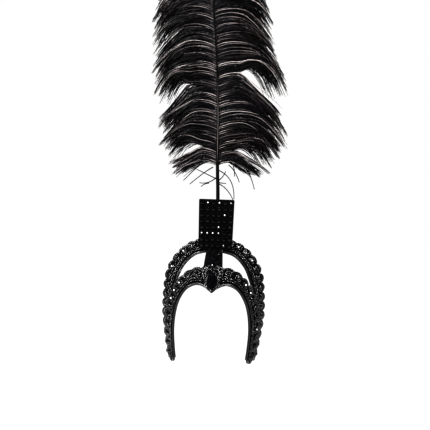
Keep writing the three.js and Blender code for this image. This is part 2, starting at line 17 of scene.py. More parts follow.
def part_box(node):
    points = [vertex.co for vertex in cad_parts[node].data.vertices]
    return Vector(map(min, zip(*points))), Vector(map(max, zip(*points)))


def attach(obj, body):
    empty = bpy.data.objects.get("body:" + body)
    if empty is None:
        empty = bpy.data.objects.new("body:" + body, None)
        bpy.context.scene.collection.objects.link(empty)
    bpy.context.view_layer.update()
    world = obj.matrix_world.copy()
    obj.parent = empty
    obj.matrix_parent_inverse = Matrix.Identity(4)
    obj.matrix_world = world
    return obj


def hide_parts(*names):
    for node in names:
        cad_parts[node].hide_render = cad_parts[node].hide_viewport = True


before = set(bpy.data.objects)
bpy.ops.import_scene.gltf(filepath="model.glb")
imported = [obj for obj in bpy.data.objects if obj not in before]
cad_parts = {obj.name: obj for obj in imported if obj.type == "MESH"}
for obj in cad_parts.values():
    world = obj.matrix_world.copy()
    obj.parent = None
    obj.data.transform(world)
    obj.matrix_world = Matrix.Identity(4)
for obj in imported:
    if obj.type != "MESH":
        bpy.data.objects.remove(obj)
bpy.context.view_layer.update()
MM = 0.001
random = np.random.default_rng(7)

# %% [markdown]
# ## Camera
# The photograph was taken from about 1.8 m, level with the plate and a little from the side of +X, and the
# object leans two degrees to the right in it. A camera could be aimed with a constraint, but its matrix
# built from the three directions keeps that small lean exact.

# %% The camera
CAMERA_PLACE = Vector((0.0702, -1.7986, 0.056))
CAMERA_TURN = math.radians(2.3)
CAMERA_LEAN = math.radians(2.0)
FOCAL_SHARE = 1000 / 430  # focal length over the picture's width
SENSOR = 36.0

ahead = Vector((-math.sin(CAMERA_TURN), math.cos(CAMERA_TURN), 0))
level = Vector((math.cos(CAMERA_TURN), math.sin(CAMERA_TURN), 0))
upright = Vector((0, 0, 1))
right = level * math.cos(CAMERA_LEAN) + upright * math.sin(CAMERA_LEAN)
up = upright * math.cos(CAMERA_LEAN) - level * math.sin(CAMERA_LEAN)
camera_data = bpy.data.cameras.new("camera")
camera_data.sensor_width = SENSOR
camera_data.lens = SENSOR * FOCAL_SHARE
camera = bpy.data.objects.new("camera", camera_data)
bpy.context.scene.collection.objects.link(camera)
camera.matrix_world = Matrix.Translation(CAMERA_PLACE) @ Matrix((right, up, -ahead)).transposed().to_4x4()
bpy.context.scene.camera = camera
print("lens", round(camera_data.lens, 1))

# %% [markdown]
# ## Colours and nodes
# Dye and paint charts give colours as sRGB hex values, and shaders work in linear light, so one function
# turns the first into the second. Another adds a node with its settings and links.

# %% Colour and node helpers
def linear(hex_colour):
    parts = [int(hex_colour[i : i + 2], 16) / 255 for i in (1, 3, 5)]
    return [c / 12.92 if c <= 0.04045 else ((c + 0.055) / 1.055) ** 2.4 for c in parts] + [1.0]


def node(tree, kind, inputs=None, links=None, stops=None, **settings):
    """Adds a shader node. stops gives a colour ramp's hex colours by their places."""
    made = tree.nodes.new("ShaderNode" + kind)
    for name, value in settings.items():
        setattr(made, name, value)
    for socket, value in (inputs or {}).items():
        made.inputs[socket].default_value = value
    for socket, source in (links or {}).items():
        tree.links.new(source, made.inputs[socket])
    if stops:
        elements = made.color_ramp.elements
        while len(elements) < len(stops):
            elements.new(1.0)
        for element, (place, hex_colour) in zip(elements, stops.items()):
            element.position, element.color = place, linear(hex_colour)
    return made


def new_material(name):
    material = bpy.data.materials.new(name)
    material.use_nodes = True
    material.node_tree.nodes.clear()
    print("material", name)
    return material, material.node_tree


def skin(tree, links, **inputs):
    """Ends a material. The names of inputs are the shader's own, with _ for each space."""
    values = {key.replace("_", " "): value for key, value in inputs.items()}
    shader = node(tree, "BsdfPrincipled", inputs=values, links=links)
    node(tree, "OutputMaterial", links={"Surface": shader.outputs["BSDF"]})


# %% [markdown]
# ## Studio
# The photograph has a white ground and soft light from the upper left, and its blacks stay deep. So the key
# is a soft sun, which lights the whole floor evenly, and the world is bright only where the camera sees it:
# what the object mirrors is dimmer, as it is between black flags in a studio. Small softboxes near the camera
# are for the stones, because a cut stone only sparkles when it mirrors something small and bright.

# %% Floor, world and lights
FLOOR_HEIGHT = -1.7  # a headdress is worn about this far above the floor
FLOOR_REACH = 60.0
GROUND_GLOW, OBJECT_GLOW = 1.0, 0.12  # the world's strength for the camera and for all else

floor_mesh = bpy.data.meshes.new("floor")
corners = [(-1, -1), (1, -1), (1, 1), (-1, 1)]
floor_corners = [(x * FLOOR_REACH, y * FLOOR_REACH, FLOOR_HEIGHT) for x, y in corners]
floor_mesh.from_pydata(floor_corners, [], [(0, 1, 2, 3)])
floor = bpy.data.objects.new("floor", floor_mesh)
bpy.context.scene.collection.objects.link(floor)
floor_paint, tree = new_material("matte_floor_paint")
skin(tree, {}, Base_Color=linear("#fdfdfc"), Roughness=1.0, Specular_IOR_Level=0.0)
floor_mesh.materials.append(floor_paint)

world = bpy.data.worlds.new("studio")
bpy.context.scene.world = world
world.use_nodes = True
sky = world.node_tree
sky.nodes.clear()
ray = node(sky, "LightPath")
glow = node(
    sky, "MapRange", {"To Min": OBJECT_GLOW, "To Max": GROUND_GLOW}, {"Value": ray.outputs["Is Camera Ray"]}
)
ground = node(sky, "Background", {"Color": linear("#ffffff")}, {"Strength": glow.outputs["Result"]})
node(sky, "OutputWorld", links={"Surface": ground.outputs["Background"]})
CONTRAST = 0.64  # under 1 deepens the darks, as the photograph does
bpy.context.scene.view_settings.view_transform = "Standard"
bpy.context.scene.view_settings.gamma = CONTRAST

AIM = Vector((0, 0, 0.1))
GLINT_PLACE, OVERHEAD_PLACE = (-0.36, -1.95, 0.42), (-0.45, -0.8, 1.9)
# name, kind, place, size and power, in metres, radians and watts
LIGHTS = [
    ("floor_sun", "SUN", (-0.9, -1.1, 1.9), math.radians(12), 3.9),
    ("key_box", "AREA", (-1.1, -1.1, 1.8), 0.7, 75),
    ("left_box", "AREA", (-1.7, -0.8, 0.8), 0.4, 58),
    ("right_box", "AREA", (1.3, -1.1, 1.7), 0.4, 72),
    ("back_box", "AREA", (0.6, 1.9, 1.5), 1.2, 160),
    ("overhead_box", "AREA", OVERHEAD_PLACE, 0.4, 30),
    ("glint_box", "AREA", GLINT_PLACE, 0.2, 6),
]
for name, kind, place, size, power in LIGHTS:
    lamp = bpy.data.lights.new(name, kind)
    if kind == "SUN":
        lamp.angle = size
    else:
        lamp.size = size
    lamp.energy = power
    light = bpy.data.objects.new(name, lamp)
    light.location = place
    light.rotation_euler = (AIM - light.location).to_track_quat("-Z", "Y").to_euler()
    bpy.context.scene.collection.objects.link(light)
print("lights", len(LIGHTS))

# %% [markdown]
# ## Jet glass
# The stones are pressed and cut jet glass, an opaque black glass with an index of refraction near 1.55. It
# has almost no colour of its own: what the eye sees is the sharp mirror image in each facet. A faint noise in
# the roughness stands for the haze that handling leaves.

# %% Jet glass
HAZE_SIZE = 3.0  # millimetres from smear to smear

jet_glass, tree = new_material("pressed_jet_glass")
place = node(tree, "TexCoord")
haze = node(
    tree, "TexNoise", {"Scale": 1 / (HAZE_SIZE * MM), "Detail": 3.0}, {"Vector": place.outputs["Object"]}
)
polish = node(
    tree, "MapRange", {"From Min": 0.3, "From Max": 0.7, "To Min": 0.02, "To Max": 0.1},
    {"Value": haze.outputs["Fac"]},
)
tone = node(
    tree, "ValToRGB", links={"Fac": haze.outputs["Fac"]},
    stops={0.3: "#020203", 0.55: "#040407", 0.75: "#060406"},
)
skin(
    tree, {"Base Color": tone.outputs["Color"], "Roughness": polish.outputs["Result"]},
    IOR=1.6, Specular_IOR_Level=0.35,
)

# %% [markdown]
# ## Blackened brass
# Each stone sits in a thin brass cup that was plated black. It is a metal, so it has no colour but its
# reflection, dimmed by the plating, and it is rubbed a little brighter in random patches.

# %% Blackened brass
RUB_SIZE = 2.0  # millimetres from rub to rub

black_brass, tree = new_material("blackened_brass")
place = node(tree, "TexCoord")
rubs = node(
    tree, "TexNoise", {"Scale": 1 / (RUB_SIZE * MM), "Detail": 4.0}, {"Vector": place.outputs["Object"]}
)
tone = node(
    tree, "ValToRGB", links={"Fac": rubs.outputs["Fac"]},
    stops={0.35: "#08080a", 0.75: "#1e1d1c"},
)
skin(tree, {"Base Color": tone.outputs["Color"]}, Metallic=1.0, Roughness=0.38)

# %% [markdown]
# ## Rayon gimp cord
# The scrolls are gimp: rayon thread wound tightly round a cotton core. Rayon is smooth and bright, so the
# cord shows a silky light line, broken into slanting ridges by the winding. The ridges are 0.45 mm apart on
# the real cord, which is finer than a pixel here, so they are drawn at 2.6 mm. They come from the cord's own
# UV map, which holds millimetres along and round it.

# %% Rayon gimp cord
WINDING = 2.6  # millimetres from ridge to ridge
WINDING_SLANT = math.radians(35)
DYE_SIZE = 14.0  # millimetres from one dye spot to the next

gimp_rayon, tree = new_material("rayon_gimp_cord")
place = node(tree, "UVMap", uv_map="mm")
slant = node(tree, "Mapping", {"Rotation": (0, 0, WINDING_SLANT)}, {"Vector": place.outputs["UV"]})
winding = node(
    tree, "TexWave", {"Scale": math.pi / (10 * WINDING), "Distortion": 0.6, "Detail": 1.0},
    {"Vector": slant.outputs["Vector"]}, wave_type="BANDS", bands_direction="X",
)
where = node(tree, "TexCoord")
dye = node(
    tree, "TexNoise", {"Scale": 1 / (DYE_SIZE * MM), "Detail": 3.0}, {"Vector": where.outputs["Object"]}
)
tone = node(
    tree, "ValToRGB", links={"Fac": dye.outputs["Fac"]},
    stops={0.3: "#020203", 0.55: "#050508", 0.75: "#0a0708"},
)
relief = node(tree, "Bump", {"Strength": 0.7, "Distance": 0.5 * MM}, {"Height": winding.outputs["Fac"]})
skin(
    tree, {"Base Color": tone.outputs["Color"], "Normal": relief.outputs["Normal"]},
    Roughness=0.16, Specular_IOR_Level=0.8,
)

# %% [markdown]
# ## Black sateen over buckram
# The bands are buckram, a stiff glued cotton, covered in black cotton sateen. Sateen has a soft sheen along
# its threads. Its real threads are 0.3 mm apart, and they are drawn at 1 mm so that the weave shows.

# %% Black sateen
THREAD = 1.0  # millimetres from thread to thread
FADE_SIZE = 30.0  # millimetres from one faded patch to the next

sateen, tree = new_material("black_cotton_sateen")
place = node(tree, "UVMap", uv_map="mm")
warp, weft = (
    node(
        tree, "TexWave", {"Scale": math.pi / (10 * THREAD), "Distortion": 0.4},
        {"Vector": place.outputs["UV"]}, wave_type="BANDS", bands_direction=direction,
    )
    for direction in "XY"
)
weave = node(tree, "Math", {}, {0: warp.outputs["Fac"], 1: weft.outputs["Fac"]}, operation="MULTIPLY")
where = node(tree, "TexCoord")
fade = node(
    tree, "TexNoise", {"Scale": 1 / (FADE_SIZE * MM), "Detail": 4.0}, {"Vector": where.outputs["Object"]}
)
tone = node(
    tree, "ValToRGB", links={"Fac": fade.outputs["Fac"]},
    stops={0.3: "#020203", 0.7: "#050507"},
)
relief = node(tree, "Bump", {"Strength": 0.5, "Distance": 0.2 * MM}, {"Height": weave.outputs["Value"]})
skin(
    tree, {"Base Color": tone.outputs["Color"], "Normal": relief.outputs["Normal"]},
    Roughness=0.7, Specular_IOR_Level=0.06, Sheen_Weight=0.01, Sheen_Roughness=0.5,
)

# %% [markdown]
# ## Satin piping
# The rims are double piping: a bias strip of satin round two cords. It is smooth, so it carries one long
# highlight on each cord, with tiny puckers where the strip was eased round the curve. The puckers' folds are
# painted a little darker than their crests, as shade.

# %% Satin piping
PUCKER = 6.0  # millimetres from pucker to pucker

piping_satin, tree = new_material("satin_piping")
place = node(tree, "UVMap", uv_map="mm")
pucker_and_fold_shade = node(
    tree, "TexWave", {"Scale": math.pi / (10 * PUCKER), "Distortion": 3.0, "Detail": 2.0},
    {"Vector": place.outputs["UV"]}, wave_type="BANDS", bands_direction="X",
)
relief = node(tree, "Bump", {"Strength": 0.12, "Distance": 0.3 * MM}, {"Height": pucker_and_fold_shade.outputs["Fac"]})
# the satin is painted a little darker in the puckers' folds than on their crests: painted shade
tone = node(
    tree, "ValToRGB", links={"Fac": pucker_and_fold_shade.outputs["Fac"]},
    stops={0.0: "#060608", 1.0: "#0c0c0f"},
)
skin(
    tree, {"Base Color": tone.outputs["Color"], "Normal": relief.outputs["Normal"]},
    Roughness=0.3, Specular_IOR_Level=0.6, Coat_Weight=0.15, Coat_Roughness=0.2,
)

# %% [markdown]
# ## Black ABS
# The plate and the plume's socket are moulded ABS, a tough plastic with an index near 1.53 and a fine satin
# texture from the mould.

# %% Black ABS
GRAIN_SIZE = 1.2  # millimetres from grain to grain

black_abs, tree = new_material("black_abs")
where = node(tree, "TexCoord")
grain = node(
    tree, "TexNoise", {"Scale": 1 / (GRAIN_SIZE * MM), "Detail": 5.0}, {"Vector": where.outputs["Object"]}
)
relief = node(tree, "Bump", {"Strength": 0.25, "Distance": 0.1 * MM}, {"Height": grain.outputs["Fac"]})
tone = node(
    tree, "ValToRGB", links={"Fac": grain.outputs["Fac"]},
    stops={0.3: "#060607", 0.7: "#0c0c0e"},
)
skin(
    tree, {"Base Color": tone.outputs["Color"], "Normal": relief.outputs["Normal"]},
    IOR=1.53, Roughness=0.45, Specular_IOR_Level=0.2,
)

# %% [markdown]
# ## Dyed ostrich feather
# A feather is keratin, like horn. Dyed black it is never quite black: thin barbs let a little warm light
# through, and the dye leaves brown, plum and green casts in streaks along the barbs. The streaks are drawn
# by noise that is stretched along the barbs, which run mostly level.

# %% Dyed ostrich barbs and quill
STREAK_HEIGHT = 26.0  # millimetres from streak to streak, up the plume
STREAK_LENGTH = 70.0
PLUME_LENGTH = 600

ostrich_barb, tree = new_material("dyed_ostrich_barbs")
where = node(tree, "TexCoord")
streaked = node(
    tree, "Mapping",
    {"Scale": [1 / (size * MM) for size in (STREAK_LENGTH, STREAK_LENGTH, STREAK_HEIGHT)]},
    {"Vector": where.outputs["Object"]},
)
streaks = node(tree, "TexNoise", {"Scale": 1.0, "Detail": 3.0}, {"Vector": streaked.outputs["Vector"]})
cast = node(
    tree, "ValToRGB", links={"Fac": streaks.outputs["Fac"]},
    stops={0.3: "#140d09", 0.45: "#120a16", 0.58: "#060d13", 0.75: "#190e13"},
)
# each barb's UV holds its tone: a random dark for most, and on every third front wisp a pale grey painted as
# a highlight line along its arch
barb_place = node(tree, "UVMap", uv_map="mm")
barb_tone_and_highlight = node(tree, "SeparateXYZ", links={"Vector": barb_place.outputs["UV"]})
tone_and_highlight_ramp = node(
    tree, "ValToRGB", links={"Fac": barb_tone_and_highlight.outputs["X"]},
    stops={0.0: "#000000", 0.34: "#060505", 0.55: "#2b2728", 0.75: "#6c6566", 1.0: "#b4adaa"},
)
tone = node(
    tree, "Mix", {0: 0.6}, {6: cast.outputs["Color"], 7: tone_and_highlight_ramp.outputs["Color"]}, data_type="RGBA"
)
skin(
    tree, {"Base Color": tone.outputs[2]},
    Roughness=0.34, Specular_IOR_Level=0.14, Sheen_Weight=0.01, Sheen_Roughness=0.4,
)

quill_horn, tree = new_material("dyed_quill_horn")
place = node(tree, "UVMap", uv_map="mm")
around = node(tree, "SeparateXYZ", links={"Vector": place.outputs["UV"]})
# a pale line is painted down the middle of the quill's face, from about a quarter to half way up its length
face_line = node(
    tree, "MapRange", {"From Min": 0.01, "From Max": 0.06, "To Min": 1.0, "To Max": 0.0},
    {"Value": around.outputs["Y"]},
)
up_quill = node(tree, "MapRange", {"From Max": PLUME_LENGTH}, {"Value": around.outputs["X"]})
pale_stretch = node(
    tree, "ValToRGB", links={"Fac": up_quill.outputs["Result"]},
    stops={0.24: "#000000", 0.3: "#ffffff", 0.38: "#ffffff", 0.5: "#000000"},
)
pale = node(tree, "Math", {}, {0: face_line.outputs["Result"], 1: pale_stretch.outputs["Color"]}, operation="MULTIPLY")
tone = node(
    tree, "ValToRGB", links={"Fac": pale.outputs["Value"]},
    stops={0.0: "#020202", 0.9: "#6a6360"},
)
skin(tree, {"Base Color": tone.outputs["Color"]}, IOR=1.55, Roughness=0.5, Specular_IOR_Level=0.08)

# %% [markdown]
# ## Making meshes from rings
# Nearly every piece here is a skin over rings of points: a cord, a band, a barb. One function gives the
# faces of such a skin, another gathers parts into one object, with a material and a shading for each.
# Curves with a bevel could make the cords, but meshes of known rings keep the triangles counted.

# %% Rings, tubes and pieces
ROUND_SIDES, CORD_SIDES = 12, 7  # of smooth rods, and of gimp cords


def skin_faces(rings, sides):
    faces = []
    for r in range(rings - 1):
        for k in range(sides):
            a, b = r * sides + k, r * sides + (k + 1) % sides
            faces.append((a, b, b + sides, a + sides))
    faces.append(tuple(range(sides))[::-1])
    faces.append(tuple((rings - 1) * sides + k for k in range(sides)))
    return np.array(faces[:-2]), [faces[-2], faces[-1]]


def unit(v):
    return v / np.maximum(np.linalg.norm(v, axis=-1, keepdims=True), 1e-12)


def tube(path, radius, sides, outward):
    """A round tube along a path. outward is the way that the first side faces, at each point."""
    ahead = unit(np.gradient(path, axis=0))
    aside = unit(np.cross(ahead, outward))
    outward = np.cross(aside, ahead)
    angle = np.arange(sides) / sides * 2 * np.pi
    radius = np.broadcast_to(np.asarray(radius, float), len(path))[:, None, None]
    ring = np.cos(angle)[None, :, None] * outward[:, None] + np.sin(angle)[None, :, None] * aside[:, None]
    points = path[:, None] + radius * ring
    walk = np.concatenate([[0], np.cumsum(np.linalg.norm(np.diff(path, axis=0), axis=1))])
    uv = np.stack(np.broadcast_arrays(walk[:, None], np.sin(angle / 2)[None] ** 2 * 2), axis=-1)
    return points.reshape(-1, 3), skin_faces(len(path), sides), uv.reshape(-1, 2)


def cord(path, radius, outward, sides=CORD_SIDES):
    """A smooth tube, as a part of a piece in its first finish."""
    return (*tube(path, radius, sides, outward), 0, True)


def sheet(rings, along, across, finish, smooth=True):
    """A skin over rings of points, as a part of a piece. Its UV map is in mm along and across it."""
    uv = np.stack(np.broadcast_arrays(along, across), axis=-1)
    return rings.reshape(-1, 3), skin_faces(*rings.shape[:2]), uv.reshape(-1, 2), finish, smooth


# %% Pieces
def piece(name, parts, materials, stands_for):
    """One object from parts: each is (points in mm, faces, uv in mm, index of its material, smooth)."""
    points, faces, uvs, finishes, smooths, base = [], [], [], [], [], 0
    for part_points, (quads, caps), uv, finish, smooth in parts:
        own = [tuple(f) for f in (np.asarray(quads) + base).tolist()]
        own += [tuple(i + base for i in cap) for cap in caps]
        faces += own
        finishes += [finish] * len(own)
        smooths += [smooth] * len(own)
        points.append(part_points)
        uvs.append(uv if uv is not None else part_points[:, :2])
        base += len(part_points)
    mesh = bpy.data.meshes.new(name)
    mesh.from_pydata((np.concatenate(points) * MM).tolist(), [], faces)
    for material in materials:
        mesh.materials.append(material)
    mesh.polygons.foreach_set("material_index", finishes)
    mesh.polygons.foreach_set("use_smooth", smooths)
    corner = np.zeros(len(mesh.loops), int)
    mesh.loops.foreach_get("vertex_index", corner)
    corner_uv = np.concatenate(uvs)[corner].astype(np.float32)
    mesh.uv_layers.new(name="mm").data.foreach_set("uv", corner_uv.ravel())
    mesh.validate()
    made = bpy.data.objects.new(name, mesh)
    bpy.context.scene.collection.objects.link(made)
    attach(made, "root")
    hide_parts(*stands_for)
    print(name, "triangles", sum(len(f) - 2 for f in faces))
    return made


# %% [markdown]
# ## The bands' faces
# Each band is a strip between an inner and an outer edge. Its stations are the CAD source's own, so that
# braid, piping and strap lie on the same surface. A spline runs through each edge, and a point of the face is
# found by how far along, how far across and how high above the underside it is.

# %% The bands' stations and their faces
HEAD_HALF, HEAD_FORE, BAND_DROP = 76, 90, 204
FRONT_WIDTH, CROWN_WIDTH, BAND_WALL = 38, 40, 2
RIM_DIAMETER, SCALLOP_DEPTH, GAP = 4.6, 3, 0.3
# side, fore and up of the inner edge; out, back and rise of the way across, as shares
FRONT_ROWS = [
    (0, 0.965, -0.366, 0, 0.86, 1.07),
    (0.155, 0.888, -0.325, 0.08, 0.7, 0.84),
    (0.345, 0.807, -0.307, 0.11, 0.63, 0.69),
    (0.56, 0.752, -0.343, 0.09, 0.66, 0.63),
    (0.73, 0.65, -0.432, 0.14, 0.68, 0.62),
    (0.832, 0.53, -0.55, 0.22, 0.72, 0.6),
    (0.875, 0.46, -0.7, 0.3, 0.77, 0.5),
    (0.852, 0.42, -0.868, 0.31, 0.76, 0.34),
    (0.805, 0.38, -1.012, 0.25, 0.66, 0.08),
]
CROWN_ROWS = [
    (0, 0.167, -0.0564, 0, 0.75, 0.575),
    (0.215, 0.167, -0.063, 0.2, 0.76, 0.57),
    (0.445, 0.168, -0.092, 0.36, 0.78, 0.47),
    (0.652, 0.175, -0.168, 0.46, 0.78, 0.37),
    (0.81, 0.19, -0.275, 0.48, 0.8, 0.26),
    (0.935, 0.15, -0.41, 0.35, 0.83, 0.1),
    (None, None, None, 0.17, 0.8, 0.02),
    (None, None, None, 0.09, 0.74, 0.02),
    (None, None, None, 0.06, 0.6, -0.03),
]
JOIN = np.array([1.3, SCALLOP_DEPTH + RIM_DIAMETER + 4 * GAP, 0])


# %% Splines
def spline(points, shares):
    """A centripetal spline through the points, as the CAD source draws it."""
    points = np.asarray(points, float)
    padded = np.vstack([2 * points[0] - points[1], points, 2 * points[-1] - points[-2]])
    at = np.clip(np.asarray(shares, float), 0, 1) * (len(points) - 1)
    i = np.minimum(at.astype(int), len(points) - 2)
    w = (at - i)[:, None]
    p0, p1, p2, p3 = (padded[i + k] for k in range(4))
    d0, d1, d2 = (np.linalg.norm(b - a, axis=1)[:, None] ** 0.5 for a, b in ((p0, p1), (p1, p2), (p2, p3)))
    m1 = ((p1 - p0) / d0 - (p2 - p0) / (d0 + d1) + (p2 - p1) / d1) * d1
    m2 = ((p2 - p1) / d1 - (p3 - p1) / (d1 + d2) + (p3 - p2) / d2) * d1
    return p1 + w * m1 + w**2 * (-3 * p1 + 3 * p2 - 2 * m1 - m2) + w**3 * (2 * p1 - 2 * p2 + m1 + m2)


STATIONS = np.linspace(0, 1, 801)


def band_faces(inner_rows, width, ways):
    inner = np.array(inner_rows, float)
    outer = inner + np.array(ways, float) * width
    edge, rim = spline(inner, STATIONS), spline(outer, STATIONS)
    ahead = np.gradient((edge + rim) / 2, axis=0)
    ahead[0] = (1, 0, 0)
    away = unit(np.cross(ahead, rim - edge))
    walk = np.concatenate([[0], np.cumsum(np.linalg.norm(np.diff(rim, axis=0), axis=1))])
    return {"edge": edge, "span": rim - edge, "out": away, "walk": walk, "outer": outer, "width": width}


def inner_edge(row):
    side, fore, rise = row[:3]
    return np.array([side * HEAD_HALF, -fore * HEAD_FORE, rise * BAND_DROP])


front = band_faces([inner_edge(r) for r in FRONT_ROWS], FRONT_WIDTH, [r[3:] for r in FRONT_ROWS])
crown = band_faces(
    [inner_edge(r) if r[0] is not None else front["outer"][i] + JOIN for i, r in enumerate(CROWN_ROWS)],
    CROWN_WIDTH, [r[3:] for r in CROWN_ROWS],
)


# the braid draws both bands in near the strap: by stations, the width that is left of each, and how far the
# crown band's inner edge moves out, as shares
DRAWN_AT = [0, 0.25, 0.4, 0.5, 0.65, 0.75]
FRONT_LEFT, CROWN_LEFT = [0.87, 0.85, 0.84, 0.9, 1, 1], [0.78, 0.77, 0.78, 0.85, 0.95, 1]
CROWN_RISE = [0.15, 0.17, 0.19, 0.15, 0.05, 0]
front["span"] *= np.interp(STATIONS, DRAWN_AT, FRONT_LEFT)[:, None]
crown["edge"] += crown["span"] * np.interp(STATIONS, DRAWN_AT, CROWN_RISE)[:, None]
crown["span"] *= np.interp(STATIONS, DRAWN_AT, CROWN_LEFT)[:, None]


# %% Points over a band
def on_band(band, t, across, lift):
    """Points of a band's face. t runs from -1 to 1, across from 0 to 1, lift is above the underside."""
    t, across, lift = np.broadcast_arrays(np.asarray(t, float), across, lift)
    found = {}
    for key in ("edge", "span", "out"):
        columns = [np.interp(np.abs(t), STATIONS, band[key][:, k]) for k in range(3)]
        found[key] = np.stack(columns, axis=-1)
        found[key][..., 0] *= np.where(t < 0, -1, 1)
    return found["edge"] + found["span"] * across[..., None] + unit(found["out"]) * lift[..., None]


def out_of_band(band, t):
    return unit(on_band(band, t, 0.5, 1.0) - on_band(band, t, 0.5, 0.0))


print("outer edges, mm", round(front["walk"][-1]), round(crown["walk"][-1]))

# %% [markdown]
# ## The two bands
# Each wall is buckram with the cloth turned round its edges, so the section is a flat strip with round
# edges. It is 2 mm thick and ends in a half round. Subdividing the CAD strip would soften its twist, so the
# wall is drawn again at a finer step from the same stations.

# %% The bands
BAND_RINGS = 150
END_START = 0.955
END_RINGS = 8
END_LEAST = 0.25  # the last ring's share of the band's width
# the wall's upper side, as places across it and shares of its thickness
SECTION = [
    (0.0, 0.3), (0.02, 0.85), (0.06, 1.0), (0.35, 1.0), (0.65, 1.0), (0.94, 1.0), (0.98, 0.85), (1.0, 0.3)
]


def band_wall(name, band):
    end = END_START + (1 - END_START) * np.sin(np.linspace(0.1, 1, END_RINGS) * np.pi / 2)
    shares = np.concatenate([np.linspace(0, END_START, BAND_RINGS), end])
    round_off = np.clip((shares - END_START) / (1 - END_START), 0, 1)
    half = np.maximum(np.sqrt(1 - round_off**2), END_LEAST) / 2
    t = np.concatenate([-shares[:0:-1], shares])
    half = np.concatenate([half[:0:-1], half])
    across, lift = np.array(SECTION + [(a, 1 - h) for a, h in SECTION[::-1]]).T
    spread = 0.5 + (across[None] - 0.5) * 2 * half[:, None]
    rings = on_band(band, t[:, None], spread, lift * BAND_WALL)
    walk = np.interp(np.abs(t), STATIONS, band["walk"]) * np.sign(t)
    wall = sheet(rings, walk[:, None], across * band["width"], 0)
    return piece(name + "_cloth", [wall], [sateen], [name])


band_wall("front_band", front)
band_wall("crown_band", crown)

# %% [markdown]
# ## The double piping
# Two satin covered cords lie side by side along each inner edge, a thick one and a thin one. They could be
# one tube with a crease, but two touching tubes catch two highlights, as the photograph shows beside the
# strap.

# %% The piping
RIM_RINGS = 170
# how far in each cord lies from the band's edge, its radius and its height, in mm
RIM_CORDS = [(1.75, 1.5, 0.6), (3.95, 0.85, -0.5)]


def rim_piping(name, band):
    t = np.linspace(-END_START, END_START, 2 * RIM_RINGS + 1)
    edge = on_band(band, t, 0.0, BAND_WALL / 2)
    inward = -unit(on_band(band, t, 1.0, 0.0) - on_band(band, t, 0.0, 0.0))
    away = out_of_band(band, t)
    cords = []
    for place, radius, height in RIM_CORDS:
        path = edge + inward * place + away * height
        cords.append(cord(path, radius, away, ROUND_SIDES))
    return piece(name + "_piping", cords, [piping_satin], [name])


rim_piping("front_rim", front)
rim_piping("crown_rim", crown)

# %% [markdown]
# ## Cut stones in their cups
# A round rhinestone has a flat table, a row of star facets, a row of kite facets and a thin girdle. Flat
# shading keeps every facet a small mirror. The cup is a low ring that closes over the girdle.

# %% Cut stones
# the materials of every piece with braid or stones, and where three of them stand there
FINISHES = [gimp_rayon, jet_glass, black_brass, sateen]
STONE, CUP, CLOTH = 1, 2, 3
CUP_SIDES = 12


def cut_stone(diameter, height, sides, turn, table):
    """Rings of a round stone on +Z: girdle foot, girdle, kite points, star points, table."""
    radius = diameter / 2
    step = 2 * np.pi / sides
    base = np.arange(sides) * step + turn
    rows = [
        (radius, 0.0, base), (radius, 0.15 * height, base),
        (0.86 * radius, 0.6 * height, base + step / 2), (0.7 * radius, 0.88 * height, base),
        (table * radius, height, base),
    ]
    rings = [np.stack([r * np.cos(a), r * np.sin(a), np.full(sides, z)], axis=-1) for r, z, a in rows]
    girdle, kite, star = sides, 2 * sides, 3 * sides  # where these rings start
    quads, others = [], []
    for k in range(sides):
        n = (k + 1) % sides
        quads += [(k, n, girdle + n, girdle + k), (star + k, star + n, star + sides + n, star + sides + k)]
        others += [
            (girdle + k, girdle + n, kite + k), (kite + k, girdle + n, kite + n),
            (kite + k, kite + n, star + n), (star + k, kite + k, star + n),
        ]
    others += [tuple(4 * sides + k for k in range(sides)), tuple(range(sides))[::-1]]
    return np.concatenate(rings), (np.array(quads), others)


def cup(diameter, height, wall):
    """A low ring round a stone's girdle, as a turned profile."""
    girdle = diameter / 2
    inner, outer = girdle - 0.05 * diameter, girdle + wall
    profile = [
        (inner, -0.2), (outer, -0.2), (outer, height * 0.35), (girdle, height * 0.5), (inner, height * 0.3)
    ]
    angle = np.arange(CUP_SIDES) / CUP_SIDES * 2 * np.pi
    points = np.array([[(r * np.cos(a), r * np.sin(a), z) for r, z in profile] for a in angle])
    count, quads = len(profile), []
    for i in range(CUP_SIDES):
        here, there = i * count, (i + 1) % CUP_SIDES * count
        for k in range(count):
            n = (k + 1) % count
            quads.append((here + k, there + k, there + n, here + n))
    return points.reshape(-1, 3), (np.array(quads), [])


# %% Setting a stone
def stand(points, place, way, ahead=(1, 0, 0)):
    """Turns points that stand on +Z to stand at a place along a way."""
    way = unit(np.asarray(way, float))
    aside = unit(np.cross(way, np.asarray(ahead, float)))
    ahead = np.cross(aside, way)
    return points @ np.stack([ahead, aside, way]) + place


def facing(place, lamp):
    """The way that a facet at a place (in mm) has to face to send a lamp's light to the camera."""
    return unit(unit(np.array(CAMERA_PLACE) / MM - place) + unit(np.array(lamp) / MM - place))


def set_stone(diameter, height, sides, place, way, wall=0.5, tilt=0.0, ahead=(1, 0, 0), table=0.4):
    """A stone and its cup, as two parts of a piece."""
    lean = unit(np.asarray(way, float)) + tilt * random.uniform(-1, 1, 3)
    gem, gem_faces = cut_stone(diameter, height, sides, random.uniform(0, np.pi), table)
    ring, ring_faces = cup(diameter, height, wall)
    return [
        (stand(gem, place, lean, ahead), gem_faces, None, STONE, False),
        (stand(ring, place, way, ahead), ring_faces, None, CUP, True),
    ]


# %% [markdown]
# ## The scroll gimp
# Scroll gimp is made on a machine that lays wound cords in curls and stitches them to a tape. Each repeat
# here has a scalloped border of two cords, a curl round one small stone, and along the inner edge a plait of
# two cords with a third beside it. The curls could be a single looping cord, but separate curls keep the pits
# between them deep and dark.

